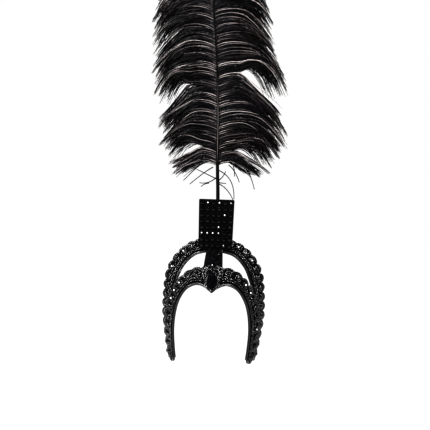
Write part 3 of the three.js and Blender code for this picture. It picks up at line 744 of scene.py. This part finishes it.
# %% The scroll gimp
SCALLOP_PITCH = 18
TRIM_END = 0.985
TRIM_LIFT = BAND_WALL + 0.1
TAPE_WALL = 0.6
BOSS_STONE, BOSS_STONE_HEIGHT, BOSS_FOOT, BOSS_TABLE = 5.0, 2.4, 0.6, 0.4
GLINT_RISE, GLINT_TABLE = 2.2, 0.62  # a stone that glints stands up out of its curl, with a wider table
CURL_MIDDLE = 0.6  # of the way across
CURL_FROM, CURL_TO = math.radians(-150), math.radians(330)
CURL_WIDE, CURL_TIGHT = 8.4, 4.4  # the curl's radius at its tail and at the stone
CURL_CORD, CURL_STEPS = 2.2, 30
CURL_FOOT, CURL_CLIMB = 0.9, 1.2  # its height over the tape at its tail, and how much more at the stone
CURL_STRAY = 0.5  # radians that a curl may be turned
CURL_SIZES = (0.86, 1.04)  # shares of its radius that a curl may have
PUFF = 1.9  # how far the middle of each repeat stands up over its ends
RUN_ON = 0.05  # repeats that the long cords run on past the last one, into the tip
TIP_CORD = 2.8
TAPE_STEPS, CORD_STEPS = 14, 16  # rings in each repeat
# the tape's section, as places across it and heights. Its edge follows the lobes
TAPE_SECTION = [
    (0.05, TAPE_WALL), (0.35, TAPE_WALL), (0.7, TAPE_WALL), (1.0, TAPE_WALL), (1.0, 0), (0.5, 0), (0.05, 0)
]
TAPE_IN, TAPE_SWING, TAPE_PUFF = -1.5, 3.0, 0.8  # of its edge in mm, and its share of the cords' puff
WEAVE = 0.5  # how far the cords of the plait rise and fall
VALLEY_THIN = 0.45  # how much thinner a border cord is between two lobes
# where each long cord runs across, as a share and in mm, its swing in mm, its turns in a repeat and where
# they start, its thickness and its height
LONG_CORDS = [
    (1.0, -1.8, 3.0, 1, 0.0, 3.1, 0.0),
    (1.0, -5.8, 2.8, 1, 0.0, 2.2, 0.6),
    (0.29, 0.0, 1.7, 2, 0.0, 2.0, 0.5),
    (0.29, 0.0, 1.7, 2, 0.5, 2.0, 0.5),
    (0.13, 0.0, 0.9, 2, 0.25, 2.2, 0.0),
]
TRIM_STARTS = {"front": 15.5, "crown": 14.6}  # beside the strap, in mm
TOP_SWING, FULL_FROM = 0.35, 0.45  # the lobes are shallow beside the strap and full from this share on
# the stones in the curls that face the softbox, counted from the strap
TRIM_GLINTS = {"front_right": (2, 3, 4), "front_left": (2, 3, 7), "crown_right": (2, 4), "crown_left": (1, 3)}


# %% Where the repeats fall
def trim_shares(band, start_x):
    t = np.interp(start_x, band["edge"][: len(STATIONS) // 2, 0], STATIONS[: len(STATIONS) // 2])
    start = np.interp(t, STATIONS, band["walk"])
    count = round((band["walk"][-1] * TRIM_END - start) / SCALLOP_PITCH)

    def t_at(place):
        walk = start + (band["walk"][-1] * TRIM_END - start) * place / count
        return np.interp(walk, band["walk"], STATIONS)

    return count, t_at


def hump(place):
    """0 between two repeats and 1 in the middle of one."""
    return np.abs(np.sin(np.pi * place))


def lobe(place, turns=1, phase=0.0):
    """Round lobes with sharp valleys, from -1 to 1, once a repeat, or a plain wave for more turns."""
    if turns > 1:
        return np.sin(2 * np.pi * (place * turns + phase))
    return 2 * np.sqrt(hump(place) + 0.02) - 1


def puff(place):
    return PUFF * hump(place) ** 0.8


def swell(share):
    """How full the lobes are along the band."""
    return np.interp(share, [0, FULL_FROM], [TOP_SWING, 1])


def slim(share):
    """How thick the cords are along the band: they thin toward its end."""
    return np.interp(share, [0.7, 1], [1, 0.6])


def taper(t, across):
    """Draws a place across the band in toward its middle where the band's end is rounded."""
    past = np.clip((np.abs(t) - END_START) / (1 - END_START), 0, 0.97)
    return 0.5 + (across - 0.5) * np.sqrt(1 - past**2)


# %% One half of a band's gimp
def gimp_trim(band_name, band, side, side_name):
    count, t_at = trim_shares(band, TRIM_STARTS[band_name])
    width = band["width"]
    # the tape that carries the cords
    places = np.linspace(0, count + RUN_ON, count * TAPE_STEPS)
    edge = 1 + (TAPE_IN + TAPE_SWING * lobe(places) * swell(places / count)) / width
    t = side * t_at(places)
    share, rise = np.array(TAPE_SECTION).T
    across = taper(t[:, None], np.where(share[None] == 1, edge[:, None], share[None]))
    height = TRIM_LIFT + rise[None] + TAPE_PUFF * puff(places)[:, None] * (share > 0.5)[None]
    tape = on_band(band, t[:, None], across, height)
    parts = [sheet(tape, places[:, None] * SCALLOP_PITCH, across * width, CLOTH)]
    # the long cords
    place = np.linspace(0.03, count + RUN_ON, count * CORD_STEPS)
    t = side * t_at(place)
    full, thin = swell(place / count), slim(place / count)
    for middle, middle_mm, swing_mm, turns, phase, thick, lift in LONG_CORDS:
        swing, radius = lobe(place, turns, phase), thick / 2 * thin
        if turns == 1:
            swing, radius = swing * full, radius * (1 - VALLEY_THIN * full * (1 - hump(place)))
            rise = puff(place) * full * thin
        else:
            rise = WEAVE * np.cos(4 * np.pi * (place + phase))
        height = TRIM_LIFT + TAPE_WALL + radius + lift * thin + rise
        across = taper(t, middle + (middle_mm + swing_mm * swing) / width)
        parts.append(cord(on_band(band, t, across, height), radius, out_of_band(band, t)))
    # a cord that closes the tip
    turn = np.linspace(-0.5, 0.5, CURL_STEPS) * np.pi
    t = side * (END_START + (1 - END_START) * 0.95 * np.cos(turn))
    path = on_band(band, t, 0.5 - 0.46 * np.sin(turn), TRIM_LIFT + TIP_CORD / 2)
    parts.append(cord(path, TIP_CORD / 2, out_of_band(band, t)))
    # a curl round a stone in each repeat
    share = np.linspace(0, 1, CURL_STEPS)
    for i in range(count):
        turn = np.linspace(CURL_FROM, CURL_TO, CURL_STEPS) + random.uniform(-CURL_STRAY, CURL_STRAY)
        radius = CURL_WIDE + (CURL_TIGHT - CURL_WIDE) * np.clip(share * 1.25, 0, 1)
        radius = radius * random.uniform(*CURL_SIZES)
        place = np.clip(i + 0.5 + radius * np.cos(turn) / SCALLOP_PITCH, 0.05, count - 0.05)
        thin = slim(i / count)
        height = TRIM_LIFT + TAPE_WALL + (CURL_FOOT + CURL_CLIMB * share + puff(place)) * thin
        t = side * t_at(place)
        across = taper(t, CURL_MIDDLE + radius * np.sin(turn) / width)
        parts.append(cord(on_band(band, t, across, height), CURL_CORD / 2 * thin, out_of_band(band, t)))
        t = side * t_at(np.array([i + 0.5]))
        way = out_of_band(band, t)[0]
        foot = on_band(band, t, CURL_MIDDLE, TRIM_LIFT + TAPE_WALL + BOSS_FOOT + PUFF)[0]
        table = BOSS_TABLE
        if i in TRIM_GLINTS[f"{band_name}_{side_name}"]:
            foot, table = foot + way * GLINT_RISE, GLINT_TABLE
            way = facing(foot, GLINT_PLACE)
        parts += set_stone(BOSS_STONE, BOSS_STONE_HEIGHT, 8, foot, way, tilt=0.01, table=table)
    name = f"{band_name}_trim_{side_name}"
    return piece(name + "_gimp", parts, FINISHES, [name])


# %% The four trims
for side, side_name in ((-1, "right"), (1, "left")):
    gimp_trim("front", front, side, side_name)
    gimp_trim("crown", crown, side, side_name)

# %% [markdown]
# ## The strap
# The strap is a short tongue of covered buckram from under the plate to the peak. Its sections lie on the
# bands, so it is lofted through the same places as the CAD strap, with a spline down its length to round
# it over the gap.

# %% The strap
# each section's band, its places across and over it, and its half width in mm
STRAP_ROWS = [
    (crown, 0.15, 1.3, 13.75), (crown, -0.02, 1.3, 14.0), (crown, -0.13, 1.3, 14.3),
    (front, 1.04, 0, 16.5), (front, 0.78, 0, 16.3), (front, 0.45, 0, 14.5), (front, 0.12, 0, 12.5),
]
STRAP_WALL, STRAP_RINGS = 2, 60
STRAP_LONG, STRAP_HALF = 90, 15  # about how long and how half wide it is, for its weave
SIDEWAYS = np.linspace(-1, 1, 13)
NEAR_MIDDLE = np.linspace(0, 0.5, 300)


def beside(band, x, across, lift):
    """The point of a band's face at a distance from the middle plane."""
    xs = on_band(band, NEAR_MIDDLE, across, lift)[:, 0]
    t = np.interp(np.abs(x), xs, NEAR_MIDDLE) * np.where(np.asarray(x) < 0, -1, 1)
    return on_band(band, t, across, lift)


def strap_points(downs, v, lift):
    """Points over the strap: downs are shares of its length, v shares of its half width, lift is in mm."""
    rows = np.array([
        [beside(band, k * half, across, BAND_WALL + GAP + over + h) for k, h in zip(v, lift)]
        for band, across, over, half in STRAP_ROWS
    ])
    return np.stack([spline(rows[:, k], downs) for k in range(len(v))], axis=1)


v = np.concatenate([[-1, -1], SIDEWAYS[1:-1], [1, 1], SIDEWAYS[1:-1][::-1]])
lift = np.concatenate([[0.6, 1.5], np.full(11, STRAP_WALL), [1.5, 0.6], np.zeros(11)])
downs = np.linspace(0, 1, STRAP_RINGS)
strap_parts = [sheet(strap_points(downs, v, lift), downs[:, None] * STRAP_LONG, v * STRAP_HALF, CLOTH)]


def strap_place(down, v, lift):
    """A point over the strap, the way out of it and the way up it."""
    at = np.array([down - 0.01, down, down + 0.01])
    middle = strap_points(at, [v], [lift])[:, 0]
    side = strap_points(at[1:2], [v - 0.05, v + 0.05], [lift, lift])[0]
    upward = unit(middle[0] - middle[2])
    return middle[1], unit(np.cross(side[1] - side[0], upward)), upward


# %% [markdown]
# ## Gimp on the peak
# Below the gap the strap lies on the front band, and there the same gimp covers it, so that the braid seems
# to run on across the peak. Two cords edge it, small curls fill it, and two more cords draw a leaf round the
# drop.

# %% Gimp on the peak
PEAK_FROM, PEAK_TO = 0.5, 0.96
PEAK_CORD, PEAK_CURL_CORD, LEAF_CORD = 2.2, 1.98, 1.3
EDGE_AT, EDGE_WAVE, EDGE_TURNS = 1.02, 0.06, 60  # of the cords along the strap's edges
PEAK_CURL_TURN = math.radians(450)
PEAK_CURL_LIFT = 1.4  # how high a curl starts, and how much higher it ends
PEAK_STONE, PEAK_STONE_HEIGHT = 3.6, 2.0
# where each curl stands down and across the strap, its radius in mm, and its turn
PEAK_CURLS = [
    (0.545, 0.36, 5.4, 0.3), (0.6, 0.8, 5.0, 1.4), (0.71, 0.93, 4.6, 2.6), (0.82, 0.98, 4.4, 0.9),
]
LEAF_CORDS = [(2.2, 0.8), (4.6, 0.4)]  # how far outside the drop each runs, and its height
DROP_WIDTH, DROP_LENGTH, DROP_HEIGHT, DROP_SIDES = 18, 33, 6, 24
DROP_DOWN = 0.86


def drop_outline(angle, grow, share=1.0):
    """A pear outline round the drop, its point up. The angle starts at the point."""
    full = 0.62 + 0.38 * np.sqrt((1 - np.cos(angle)) / 2)
    x = np.sin(angle) * (DROP_WIDTH / 2 + grow) * full * share
    return x, np.cos(angle) * (DROP_LENGTH / 2 + grow) * share


for side in (-1, 1):
    down = np.linspace(PEAK_FROM, PEAK_TO, 40)
    wave = side * (EDGE_AT + EDGE_WAVE * np.sin(down * EDGE_TURNS))
    lift = STRAP_WALL + PEAK_CORD / 2 + 0.2
    path = np.array([strap_points([d], [w], [lift])[0, 0] for d, w in zip(down, wave)])
    strap_parts.append(cord(path, PEAK_CORD / 2, np.tile((0.0, -1.0, 0.3), (len(path), 1))))
    for down, v, wide, first in PEAK_CURLS:
        middle, way, upward = strap_place(down, side * v, STRAP_WALL)
        aside = np.cross(upward, way) * side
        share = np.linspace(0, 1, 26)[:, None]
        turn = first + share * PEAK_CURL_TURN
        radius = wide * (1 - 0.5 * share)
        path = middle + radius * (np.cos(turn) * aside + np.sin(turn) * upward)
        path = path + way * PEAK_CURL_LIFT * (1 + share)
        strap_parts.append(cord(path, PEAK_CURL_CORD / 2, np.tile(way, (len(path), 1))))
        strap_parts += set_stone(
            PEAK_STONE, PEAK_STONE_HEIGHT, 8, middle + way * 1.8, way, wall=0.4, tilt=0.1
        )
middle, way, upward = strap_place(DROP_DOWN, 0.0, STRAP_WALL)
leaf_angle = np.radians(np.linspace(-152, 152, 60))
for grow, lift in LEAF_CORDS:
    leaf = np.stack([*drop_outline(leaf_angle, grow), np.full(len(leaf_angle), lift)], axis=-1)
    path = stand(leaf, middle, way, np.cross(upward, way))
    strap_parts.append(cord(path, LEAF_CORD / 2, np.tile(way, (len(path), 1))))
piece("strap_cloth", strap_parts, FINISHES, ["centre_strap"])

# %% [markdown]
# ## The strap's stones and the drop
# A column of large round stones stands on a narrow tape, with small stones beside them. On the peak sits a
# pear cut drop with a dark middle. A pear cut is a round cut drawn out to a point, so the same rows
# of facets run round a drop shaped outline.

# %% The strap's stones
# how far down and across the strap each stands, its diameter and its height
STRAP_STONES = [
    (0.366, 0.0, 11.0, 4.2), (0.424, 0.0, 13.0, 4.6), (0.484, 0.0, 13.0, 4.6),
    (0.39, -0.62, 4.2, 2.0), (0.395, 0.62, 4.2, 2.0), (0.455, -0.66, 4.2, 2.0), (0.455, 0.66, 4.2, 2.0),
    (0.33, -0.55, 4.2, 2.0), (0.33, 0.55, 4.2, 2.0),
]
LARGE = 5  # a stone wider than this has more sides, and is turned up a little
STONE_TAPE_WALL, STONE_TAPE_HALF = 0.8, 0.45  # in mm, and as a share of the strap's half width
tape_downs = np.linspace(0.33, 0.52, 16)
tape_v = np.array([-1, 1, 1, -1]) * STONE_TAPE_HALF
tape_lift = np.array([1, 1, 0, 0]) * STONE_TAPE_WALL + STRAP_WALL + GAP
tape = strap_points(tape_downs, tape_v, tape_lift)
parts = [sheet(tape, tape_downs[:, None] * STRAP_LONG, (tape_v > 0) * STRAP_HALF, CLOTH, False)]
for down, v, diameter, height in STRAP_STONES:
    foot, way, upward = strap_place(down, v, STRAP_WALL + GAP + STONE_TAPE_WALL + 0.1)
    sides = 8
    if diameter > LARGE:
        sides, way = 12, unit(way + 0.3 * facing(foot, OVERHEAD_PLACE))
    parts += set_stone(diameter, height, sides, foot, way, wall=0.6, ahead=upward, table=0.24)
piece("strap_stones_set", parts, FINISHES, ["strap_stones"])

# %% The drop on the peak
def drop_ring(grow, share, height, turn=0.0):
    angle = (np.arange(DROP_SIDES) + turn) / DROP_SIDES * 2 * np.pi
    x, y = drop_outline(angle, grow, share)
    return np.stack([x, y, np.full(DROP_SIDES, height)], axis=-1)


def facet_rows(rings):
    """Triangles between rings that are turned by half a step, in turns."""
    count, faces = DROP_SIDES, []
    for r in range(len(rings) - 1):
        for k in range(count):
            a, b, n = r * count, (r + 1) * count, (k + 1) % count
            if r % 2 == 0:
                faces += [(a + k, a + n, b + k), (b + k, a + n, b + n)]
            else:
                faces += [(a + k, a + n, b + n), (a + k, b + n, b + k)]
    top = (len(rings) - 1) * count
    faces += [tuple(top + k for k in range(count)), tuple(range(count))[::-1]]
    return faces


# from the foot up: how far outside the drop's outline a ring lies, its share of it, its height and its turn
GEM_ROWS = [(-0.3, 1, 0.2, 0), (0, 1, 2.4, 0.5), (0, 0.76, 3.7, 0), (0, 0.36, DROP_HEIGHT, 0.5)]
COLLAR_ROWS = [(1.4, 1, 0), (1.3, 1, 1.6), (0.7, 1, 2.6), (0.0, 1, 2.4), (-0.2, 1, 0.4)]
gem, collar = ([drop_ring(*row) for row in rows] for rows in (GEM_ROWS, COLLAR_ROWS))
foot, way, upward = strap_place(DROP_DOWN, 0.0, STRAP_WALL + GAP)


def place_drop(rings):
    return stand(np.concatenate(rings), foot, way, np.cross(upward, way))


collar_faces = skin_faces(len(collar), DROP_SIDES)[0]
parts = [
    (place_drop(gem), (np.zeros((0, 4), int), facet_rows(gem)), None, STONE, False),
    (place_drop(collar), (collar_faces, [tuple(range(DROP_SIDES))[::-1]]), None, CUP, True),
]
piece("centre_stone_set", parts, FINISHES[:CLOTH], ["centre_stone"])

# %% [markdown]
# ## The plate and its field of stones
# The plate is a moulded slab, and its CAD solid is already right: it only needs its edges eased, which a
# bevel modifier does. On it lie rows of round stones, each in its own cup on a backing cloth.

# %% The plate, the socket and the field of stones
for name in ("plume_plate", "plume_socket"):
    node_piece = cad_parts[name]
    node_piece.data.materials.clear()
    node_piece.data.materials.append(black_abs)
    ease = node_piece.modifiers.new("eased_edges", "BEVEL")
    ease.width = 0.5 * MM
    ease.segments = 2
    ease.limit_method = "ANGLE"

FIELD_COLUMNS, FIELD_ROWS = 6, 8
# the stones that face the softbox, by row from the top and column, and how far each is turned off it
FACING_STONES = {
    (0, 1): 0.012, (0, 3): 0.012, (0, 5): 0.04, (2, 2): 0.06, (2, 3): 0.06, (2, 4): 0.0, (4, 2): 0.055,
    (4, 3): 0.03, (4, 4): 0.06, (4, 5): 0.045, (5, 0): 0.02, (5, 1): 0.03, (5, 2): 0.0, (5, 3): 0.035,
    (7, 2): 0.05, (7, 4): 0.04,
}
low, high = (np.array(corner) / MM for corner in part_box("plate_stones"))
FIELD_BACK, FIELD_WALL = high[1], 0.8
FIELD_STONE_SHARE, FIELD_STONE_HEIGHT, FIELD_CUP_WALL = 0.8, 2.4, 0.45
OFF_SCALE = 0.6  # of the table's turns
BOTTOM_SHARE = 58.8 / 61.8  # the plate narrows to its foot
middle_x = (low[0] + high[0]) / 2
half_top, half_bottom = (high[0] - low[0]) / 2, (high[0] - low[0]) / 2 * BOTTOM_SHARE
outline = np.array([
    (middle_x - half_bottom, low[2]), (middle_x + half_bottom, low[2]),
    (middle_x + half_top, high[2]), (middle_x - half_top, high[2]),
])
slab = np.array([[(x, y, z) for x, z in outline] for y in (FIELD_BACK, FIELD_BACK - FIELD_WALL)])
parts = [sheet(slab, slab[..., 0], slab[..., 2], CLOTH, False)]
row_height = (high[2] - low[2]) / FIELD_ROWS
for row in range(FIELD_ROWS):
    z = low[2] + (row + 0.5) * row_height
    half = half_bottom + (half_top - half_bottom) * (z - low[2]) / (high[2] - low[2])
    pitch = 2 * half / FIELD_COLUMNS
    for column in range(FIELD_COLUMNS):
        x = middle_x - half + (column + 0.5) * pitch
        place = np.array([x, FIELD_BACK - FIELD_WALL, z])
        turned = FACING_STONES.get((FIELD_ROWS - 1 - row, column))
        way, cut = (0, -1, 0), {"tilt": 0.03}
        if turned is not None:
            way = facing(place, GLINT_PLACE) + np.array([turned, 0, turned]) * OFF_SCALE
            cut = {"table": 0.34}
        parts += set_stone(
            pitch * FIELD_STONE_SHARE, FIELD_STONE_HEIGHT, 8, place, way, wall=FIELD_CUP_WALL, **cut
        )
piece("plate_stones_set", parts, FINISHES, ["plate_stones"])

# %% [markdown]
# ## The plume: its quill
# An ostrich plume has one quill, or rachis, with long soft barbs on both sides. The quill tapers to a hair,
# and a pale line is painted down the middle of its face, over a stretch of its length only.

# %% The quill
# rise, and how far to the side and back it lies there, as shares of the plume's length
QUILL_ROWS = [
    (0, 0.0045, 0), (0.1, 0.0045, 0), (0.15, 0.0035, 0.0005), (0.24, -0.001, 0.003), (0.39, -0.0045, 0.009),
    (0.55, -0.014, 0.014), (0.73, -0.03, 0.012), (0.88, -0.036, -0.004), (1, -0.038, -0.03),
]
quill_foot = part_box("plume")[0][2] / MM
socket_low, socket_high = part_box("plume_socket")
quill_y = (socket_low[1] + socket_high[1]) / 2 / MM
quill_points = [(side, back, rise) for rise, side, back in QUILL_ROWS]
quill_line = spline(
    np.array([0, quill_y, quill_foot]) + np.array(quill_points) * PLUME_LENGTH, np.linspace(0, 1, 200)
)


def quill_at(z):
    return np.stack([np.interp(z, quill_line[:, 2], quill_line[:, k]) for k in range(3)], axis=-1)


share = np.linspace(0, 1, 120)
quill_path = quill_at(quill_foot + share * PLUME_LENGTH)
quill_radius = np.interp(share, [0, 0.1, 0.3, 0.75, 1], [3.2, 3.2, 2.7, 2.1, 0.5])
quill = cord(quill_path, quill_radius, np.tile((0.0, -1.0, 0.0), (len(share), 1)), ROUND_SIDES)
piece("plume_quill", [quill], [quill_horn], ["plume"])

# %% [markdown]
# ## The plume: its barbs
# The barbs leave the quill almost level, rise a little, arch over and hang. A dense mat of shorter ones lies
# behind. In front of it fine hooks and handling draw them into thin wisps, and the wisps' ends into pointed
# locks. Hair particles could grow them, but a mesh is what the exported model can keep. So each barb is a
# thin three sided tube with its own arch, and its UV map carries its tone and the place along it; on every
# third wisp in front that tone is a pale grey, a painted highlight line. The lock tables hold what the
# photograph shows, and above its edge they go on plainly.

# %% The locks
# height of the root, reach and drop of the tip, and its swing out of the plume's plane, all in mm
LEFT_LOCKS = [
    (150, 80, 20, -6), (172, 90, 20, 8), (206, 106, 30, -10), (230, 98, 34, 6), (255, 108, 44, -12),
    (284, 106, 46, 10), (310, 113, 50, -8), (340, 112, 52, 12), (358, 115, 52, -12), (378, 113, 54, 6),
    (400, 112, 52, -10), (423, 111, 52, 10), (447, 110, 52, -8), (471, 106, 50, 12), (497, 100, 46, -12),
    (524, 90, 38, 8), (549, 78, 26, -10), (573, 60, 8, 8), (594, 38, -12, -6),
]
RIGHT_LOCKS = [
    (150, 78, 20, 6), (167, 97, 30, -8), (192, 113, 34, 8), (229, 126, 50, -12), (256, 128, 56, 8),
    (280, 118, 54, -10), (303, 119, 54, 12), (325, 131, 58, -8), (353, 128, 54, 10), (384, 114, 46, -12),
    (414, 111, 46, 8), (441, 110, 46, -8), (466, 104, 44, 12), (492, 98, 42, -10), (520, 88, 36, 8),
    (548, 74, 26, -10), (574, 56, 6, 8), (595, 38, -12, -6),
]
# what a lock between two others keeps of their mean height, reach, drop and swing
BETWEEN = (1, 0.96, 0.94, -0.7)
# where the vane is parted: height of the root, share where the slit starts, its opening in mm
PARTINGS = {
    -1: [(286, 0.56, 44), (240, 0.6, 12), (172, 0.4, 22), (395, 0.6, 16)],
    1: [(306, 0.42, 44), (166, 0.4, 22), (236, 0.65, 10), (420, 0.6, 14)],
}
# of each layer: how many wisps, the barbs in each, shares of the reach and sag, how far back the tips lie,
# how strongly a lock pulls them, thickness, how far barbs stray in mm, how light a comb line is painted as a
# highlight, and how far back every fifth wisp lies
LAYERS = {
    "mat": {
        "wisps": 2700, "barbs": 1, "reach": (0.6, 0.92), "sag": (0.7, 1.15), "deep": 7, "pull": 0.4,
        "thick": 1.5, "stray": 1.9, "bright": 0.0, "back": 7,
    },
    "wisps": {
        "wisps": 390, "barbs": 9, "reach": (0.84, 1.03), "sag": (0.85, 1.1), "deep": -4, "pull": 0.92,
        "thick": 0.95, "stray": 0.8, "bright": 1.0, "back": 15,
    },
}
COMB, BACK_COMB = 3, 5  # one wisp in these many is painted pale as a highlight line, and one lies behind
SWING_KEPT = 0.6  # how much of its lock's swing a wisp has of its own
LOCK_FROM = 0.35  # the share of a barb from which its lock pulls it
PARTING_TALL, PARTING_END = 34, 1.12  # how far up and down it is felt in mm, and the share where it ends
BARB_RINGS = 10
BARB_ROOT, BARB_TIP = 0.4, 0.26  # radius of a barb, in mm


# %% The arch of a barb
def smooth_step(share):
    share = np.clip(share, 0, 1)
    return share * share * (3 - 2 * share)


def arch(q, reach, drop):
    """How far out and up a barb is at a share q of its length."""
    b1, b2, b3 = 3 * (1 - q) ** 2 * q, 3 * (1 - q) * q**2, q**3
    return reach * (0.22 * b1 + 0.68 * b2 + b3), reach * (0.12 * b1 + 0.2 * b2) - drop * b3


def barb_line(q, side, root, reach, drop, swing):
    out, rise = arch(q, reach, drop)
    return quill_at(root) + np.stack([side * out, swing * q**1.4, rise], axis=-1)


# %% One side of the plume
def vane(name, side, locks, layer):
    table = np.array(locks, float)
    table = np.vstack([table, (table[1:] + table[:-1]) / 2 * BETWEEN])
    table = table[np.argsort(table[:, 0])]
    count = layer["wisps"]
    wisp_root = np.linspace(table[0, 0] - 3, table[-1, 0] + 4, count)
    wisp_root += random.uniform(-1, 1, count) * layer["stray"]
    own = [np.interp(wisp_root, table[:, 0], table[:, k]) for k in (1, 2, 3)]
    reach = own[0] * random.uniform(*layer["reach"], count)
    drop = own[1] * random.uniform(*layer["sag"], count) + random.normal(0, 2, count)
    back = np.where(np.arange(count) % BACK_COMB == 1, layer["back"], layer["deep"])
    swing = own[2] * SWING_KEPT + back + random.normal(0, 6, count)
    strays = random.normal(0, 5, count)
    nearest = np.abs(wisp_root[:, None] + strays[:, None] - table[None, :, 0]).argmin(1)
    pull = layer["pull"] * random.uniform(0.55, 1.1, count)
    # each barb, with its wisp's numbers
    wisp = np.repeat(np.arange(count), layer["barbs"])
    total = len(wisp)
    length = random.uniform(0.6, 1.0, total) ** 0.5
    q = np.linspace(0, 1, BARB_RINGS)[None] * length[:, None]
    line = barb_line(
        q, side, wisp_root[wisp][:, None], reach[wisp][:, None], drop[wisp][:, None], swing[wisp][:, None]
    )
    lock = table[nearest[wisp]]
    lock_line = barb_line(q, side, lock[:, 0:1], lock[:, 1:2], lock[:, 2:3], lock[:, 3:4])
    weight = (pull[wisp][:, None] * smooth_step((q - LOCK_FROM) / (1 - LOCK_FROM)))[..., None]
    line = line * (1 - weight) + lock_line * weight
    # roots spread along the quill, and tips stray a little from the wisp
    loose = 1 - 0.8 * smooth_step(q / 0.5)
    stray = layer["stray"]
    line[..., 2] += random.uniform(-1, 1, total)[:, None] * stray * loose
    line[..., 1] += random.uniform(-1.6, 1.6, total)[:, None] * loose
    turns, phase = random.uniform(6, 14, total)[:, None], random.uniform(0, 6, total)[:, None]
    ripple = 0.5 * np.sin(q * turns + phase) * q
    line[..., 2] += random.normal(0, 1.1 * stray, total)[:, None] * q**1.6 + ripple
    line[..., 1] += random.normal(0, 1.8 * stray, total)[:, None] * q**1.3 + ripple
    root = wisp_root[wisp][:, None]
    for height, start, opening in PARTINGS[side]:
        near = np.exp(-(((root - height) / PARTING_TALL) ** 2)) * np.sign(root - height)
        slit = np.sin(np.pi * np.clip((q - start) / (PARTING_END - start), 0, 1))
        line[..., 2] += near * opening / 2 * slit
    # every COMB-th front wisp gets a pale tone, a painted highlight line; the rest keep a random dark tone
    dark, bright = random.uniform(0.04, 0.46, count), random.uniform(0.66, 0.98, count)
    tone_and_highlight = np.where(np.arange(count) % COMB == 0, np.maximum(dark, bright * layer["bright"]), dark)
    tone_and_highlight = np.repeat(tone_and_highlight, layer["barbs"]) + random.uniform(0, 0.15, total)
    return barb_mesh(name, line, tone_and_highlight, layer["thick"])


# %% Barbs as a mesh
def barb_mesh(name, line, tone_and_highlight, thick):
    """One piece of thin three sided tubes along the lines, which all have the same number of points."""
    total, rings = line.shape[:2]
    ahead = unit(np.gradient(line, axis=1))
    aside = unit(np.cross(ahead, np.array([0.0, 1.0, 0.0])))
    deep = np.cross(ahead, aside)
    radius = (np.linspace(BARB_ROOT, BARB_TIP, rings) * thick)[None, :, None, None]
    angle = np.arange(3) / 3 * 2 * np.pi
    ring = np.cos(angle)[:, None] * aside[:, :, None] + np.sin(angle)[:, None] * deep[:, :, None]
    points = line[:, :, None] + radius * ring
    quads, caps = skin_faces(rings, 3)
    base = (np.arange(total) * rings * 3)[:, None, None]
    all_quads = (quads[None] + base).reshape(-1, 4)
    all_caps = (np.array(caps)[None] + base).reshape(-1, 3)
    uv = np.zeros((total, rings, 3, 2))
    uv[..., 0] = tone_and_highlight[:, None, None]
    uv[..., 1] = np.linspace(0, 1, rings)[:, None]
    faces = (all_quads, [tuple(c) for c in all_caps.tolist()])
    barbs = (points.reshape(-1, 3), faces, uv.reshape(-1, 2), 0, True)
    return piece(name, [barbs], [ostrich_barb], ["plume"])


# %% The mat and the wisps
for side, side_name, locks in ((-1, "left", LEFT_LOCKS), (1, "right", RIGHT_LOCKS)):
    for layer_name, layer in LAYERS.items():
        vane(f"plume_{layer_name}_{side_name}", side, locks, layer)

# %% [markdown]
# ## Loose barbs on the stem
# Below the vane a few single barbs were left on the stem when it was stripped. Each is placed by its root
# and the two points that shape its curl.

# %% Loose barbs
# root height and how far out it is, then out and up of the bend and the tip from the root, in mm
LOOSE_BARBS = [
    (121, -2, -18, 8, -36, 16), (142, -8, -16, -10, -41, -32), (124, -2, -14, -14, -30, -11),
    (113, -16, -8, -1, -14, -7), (136, 2, 30, -12, 29, -51), (112, 2, 17, -8, 26, -28),
    (118, 2, 8, 6, 12, 17), (114, 2, 6, -1, 13, -1), (146, 20, 12, -8, 20, -30),
    (144, 28, 3, -6, 3, -18), (138, 52, 8, -8, 15, -34), (146, -30, -12, -10, -30, -30),
]
LOOSE_RINGS, LOOSE_LOT, LOOSE_THICK = 12, 0.05, 2.8
lines = []
for root, root_out, out, rise, tip_out, tip_rise in LOOSE_BARBS:
    q = np.linspace(0, 1, LOOSE_RINGS)[:, None]
    base = quill_at(np.array([root])) + (root_out, 0, 0)
    middle = base + np.array([out, random.uniform(-8, 2), rise])
    tip = base + np.array([tip_out, random.uniform(-14, 4), tip_rise])
    lines.append((1 - q) ** 2 * base + 2 * (1 - q) * q * middle + q**2 * tip)
barb_mesh("plume_loose_barbs", np.array(lines), np.full(len(lines), LOOSE_LOT), LOOSE_THICK)
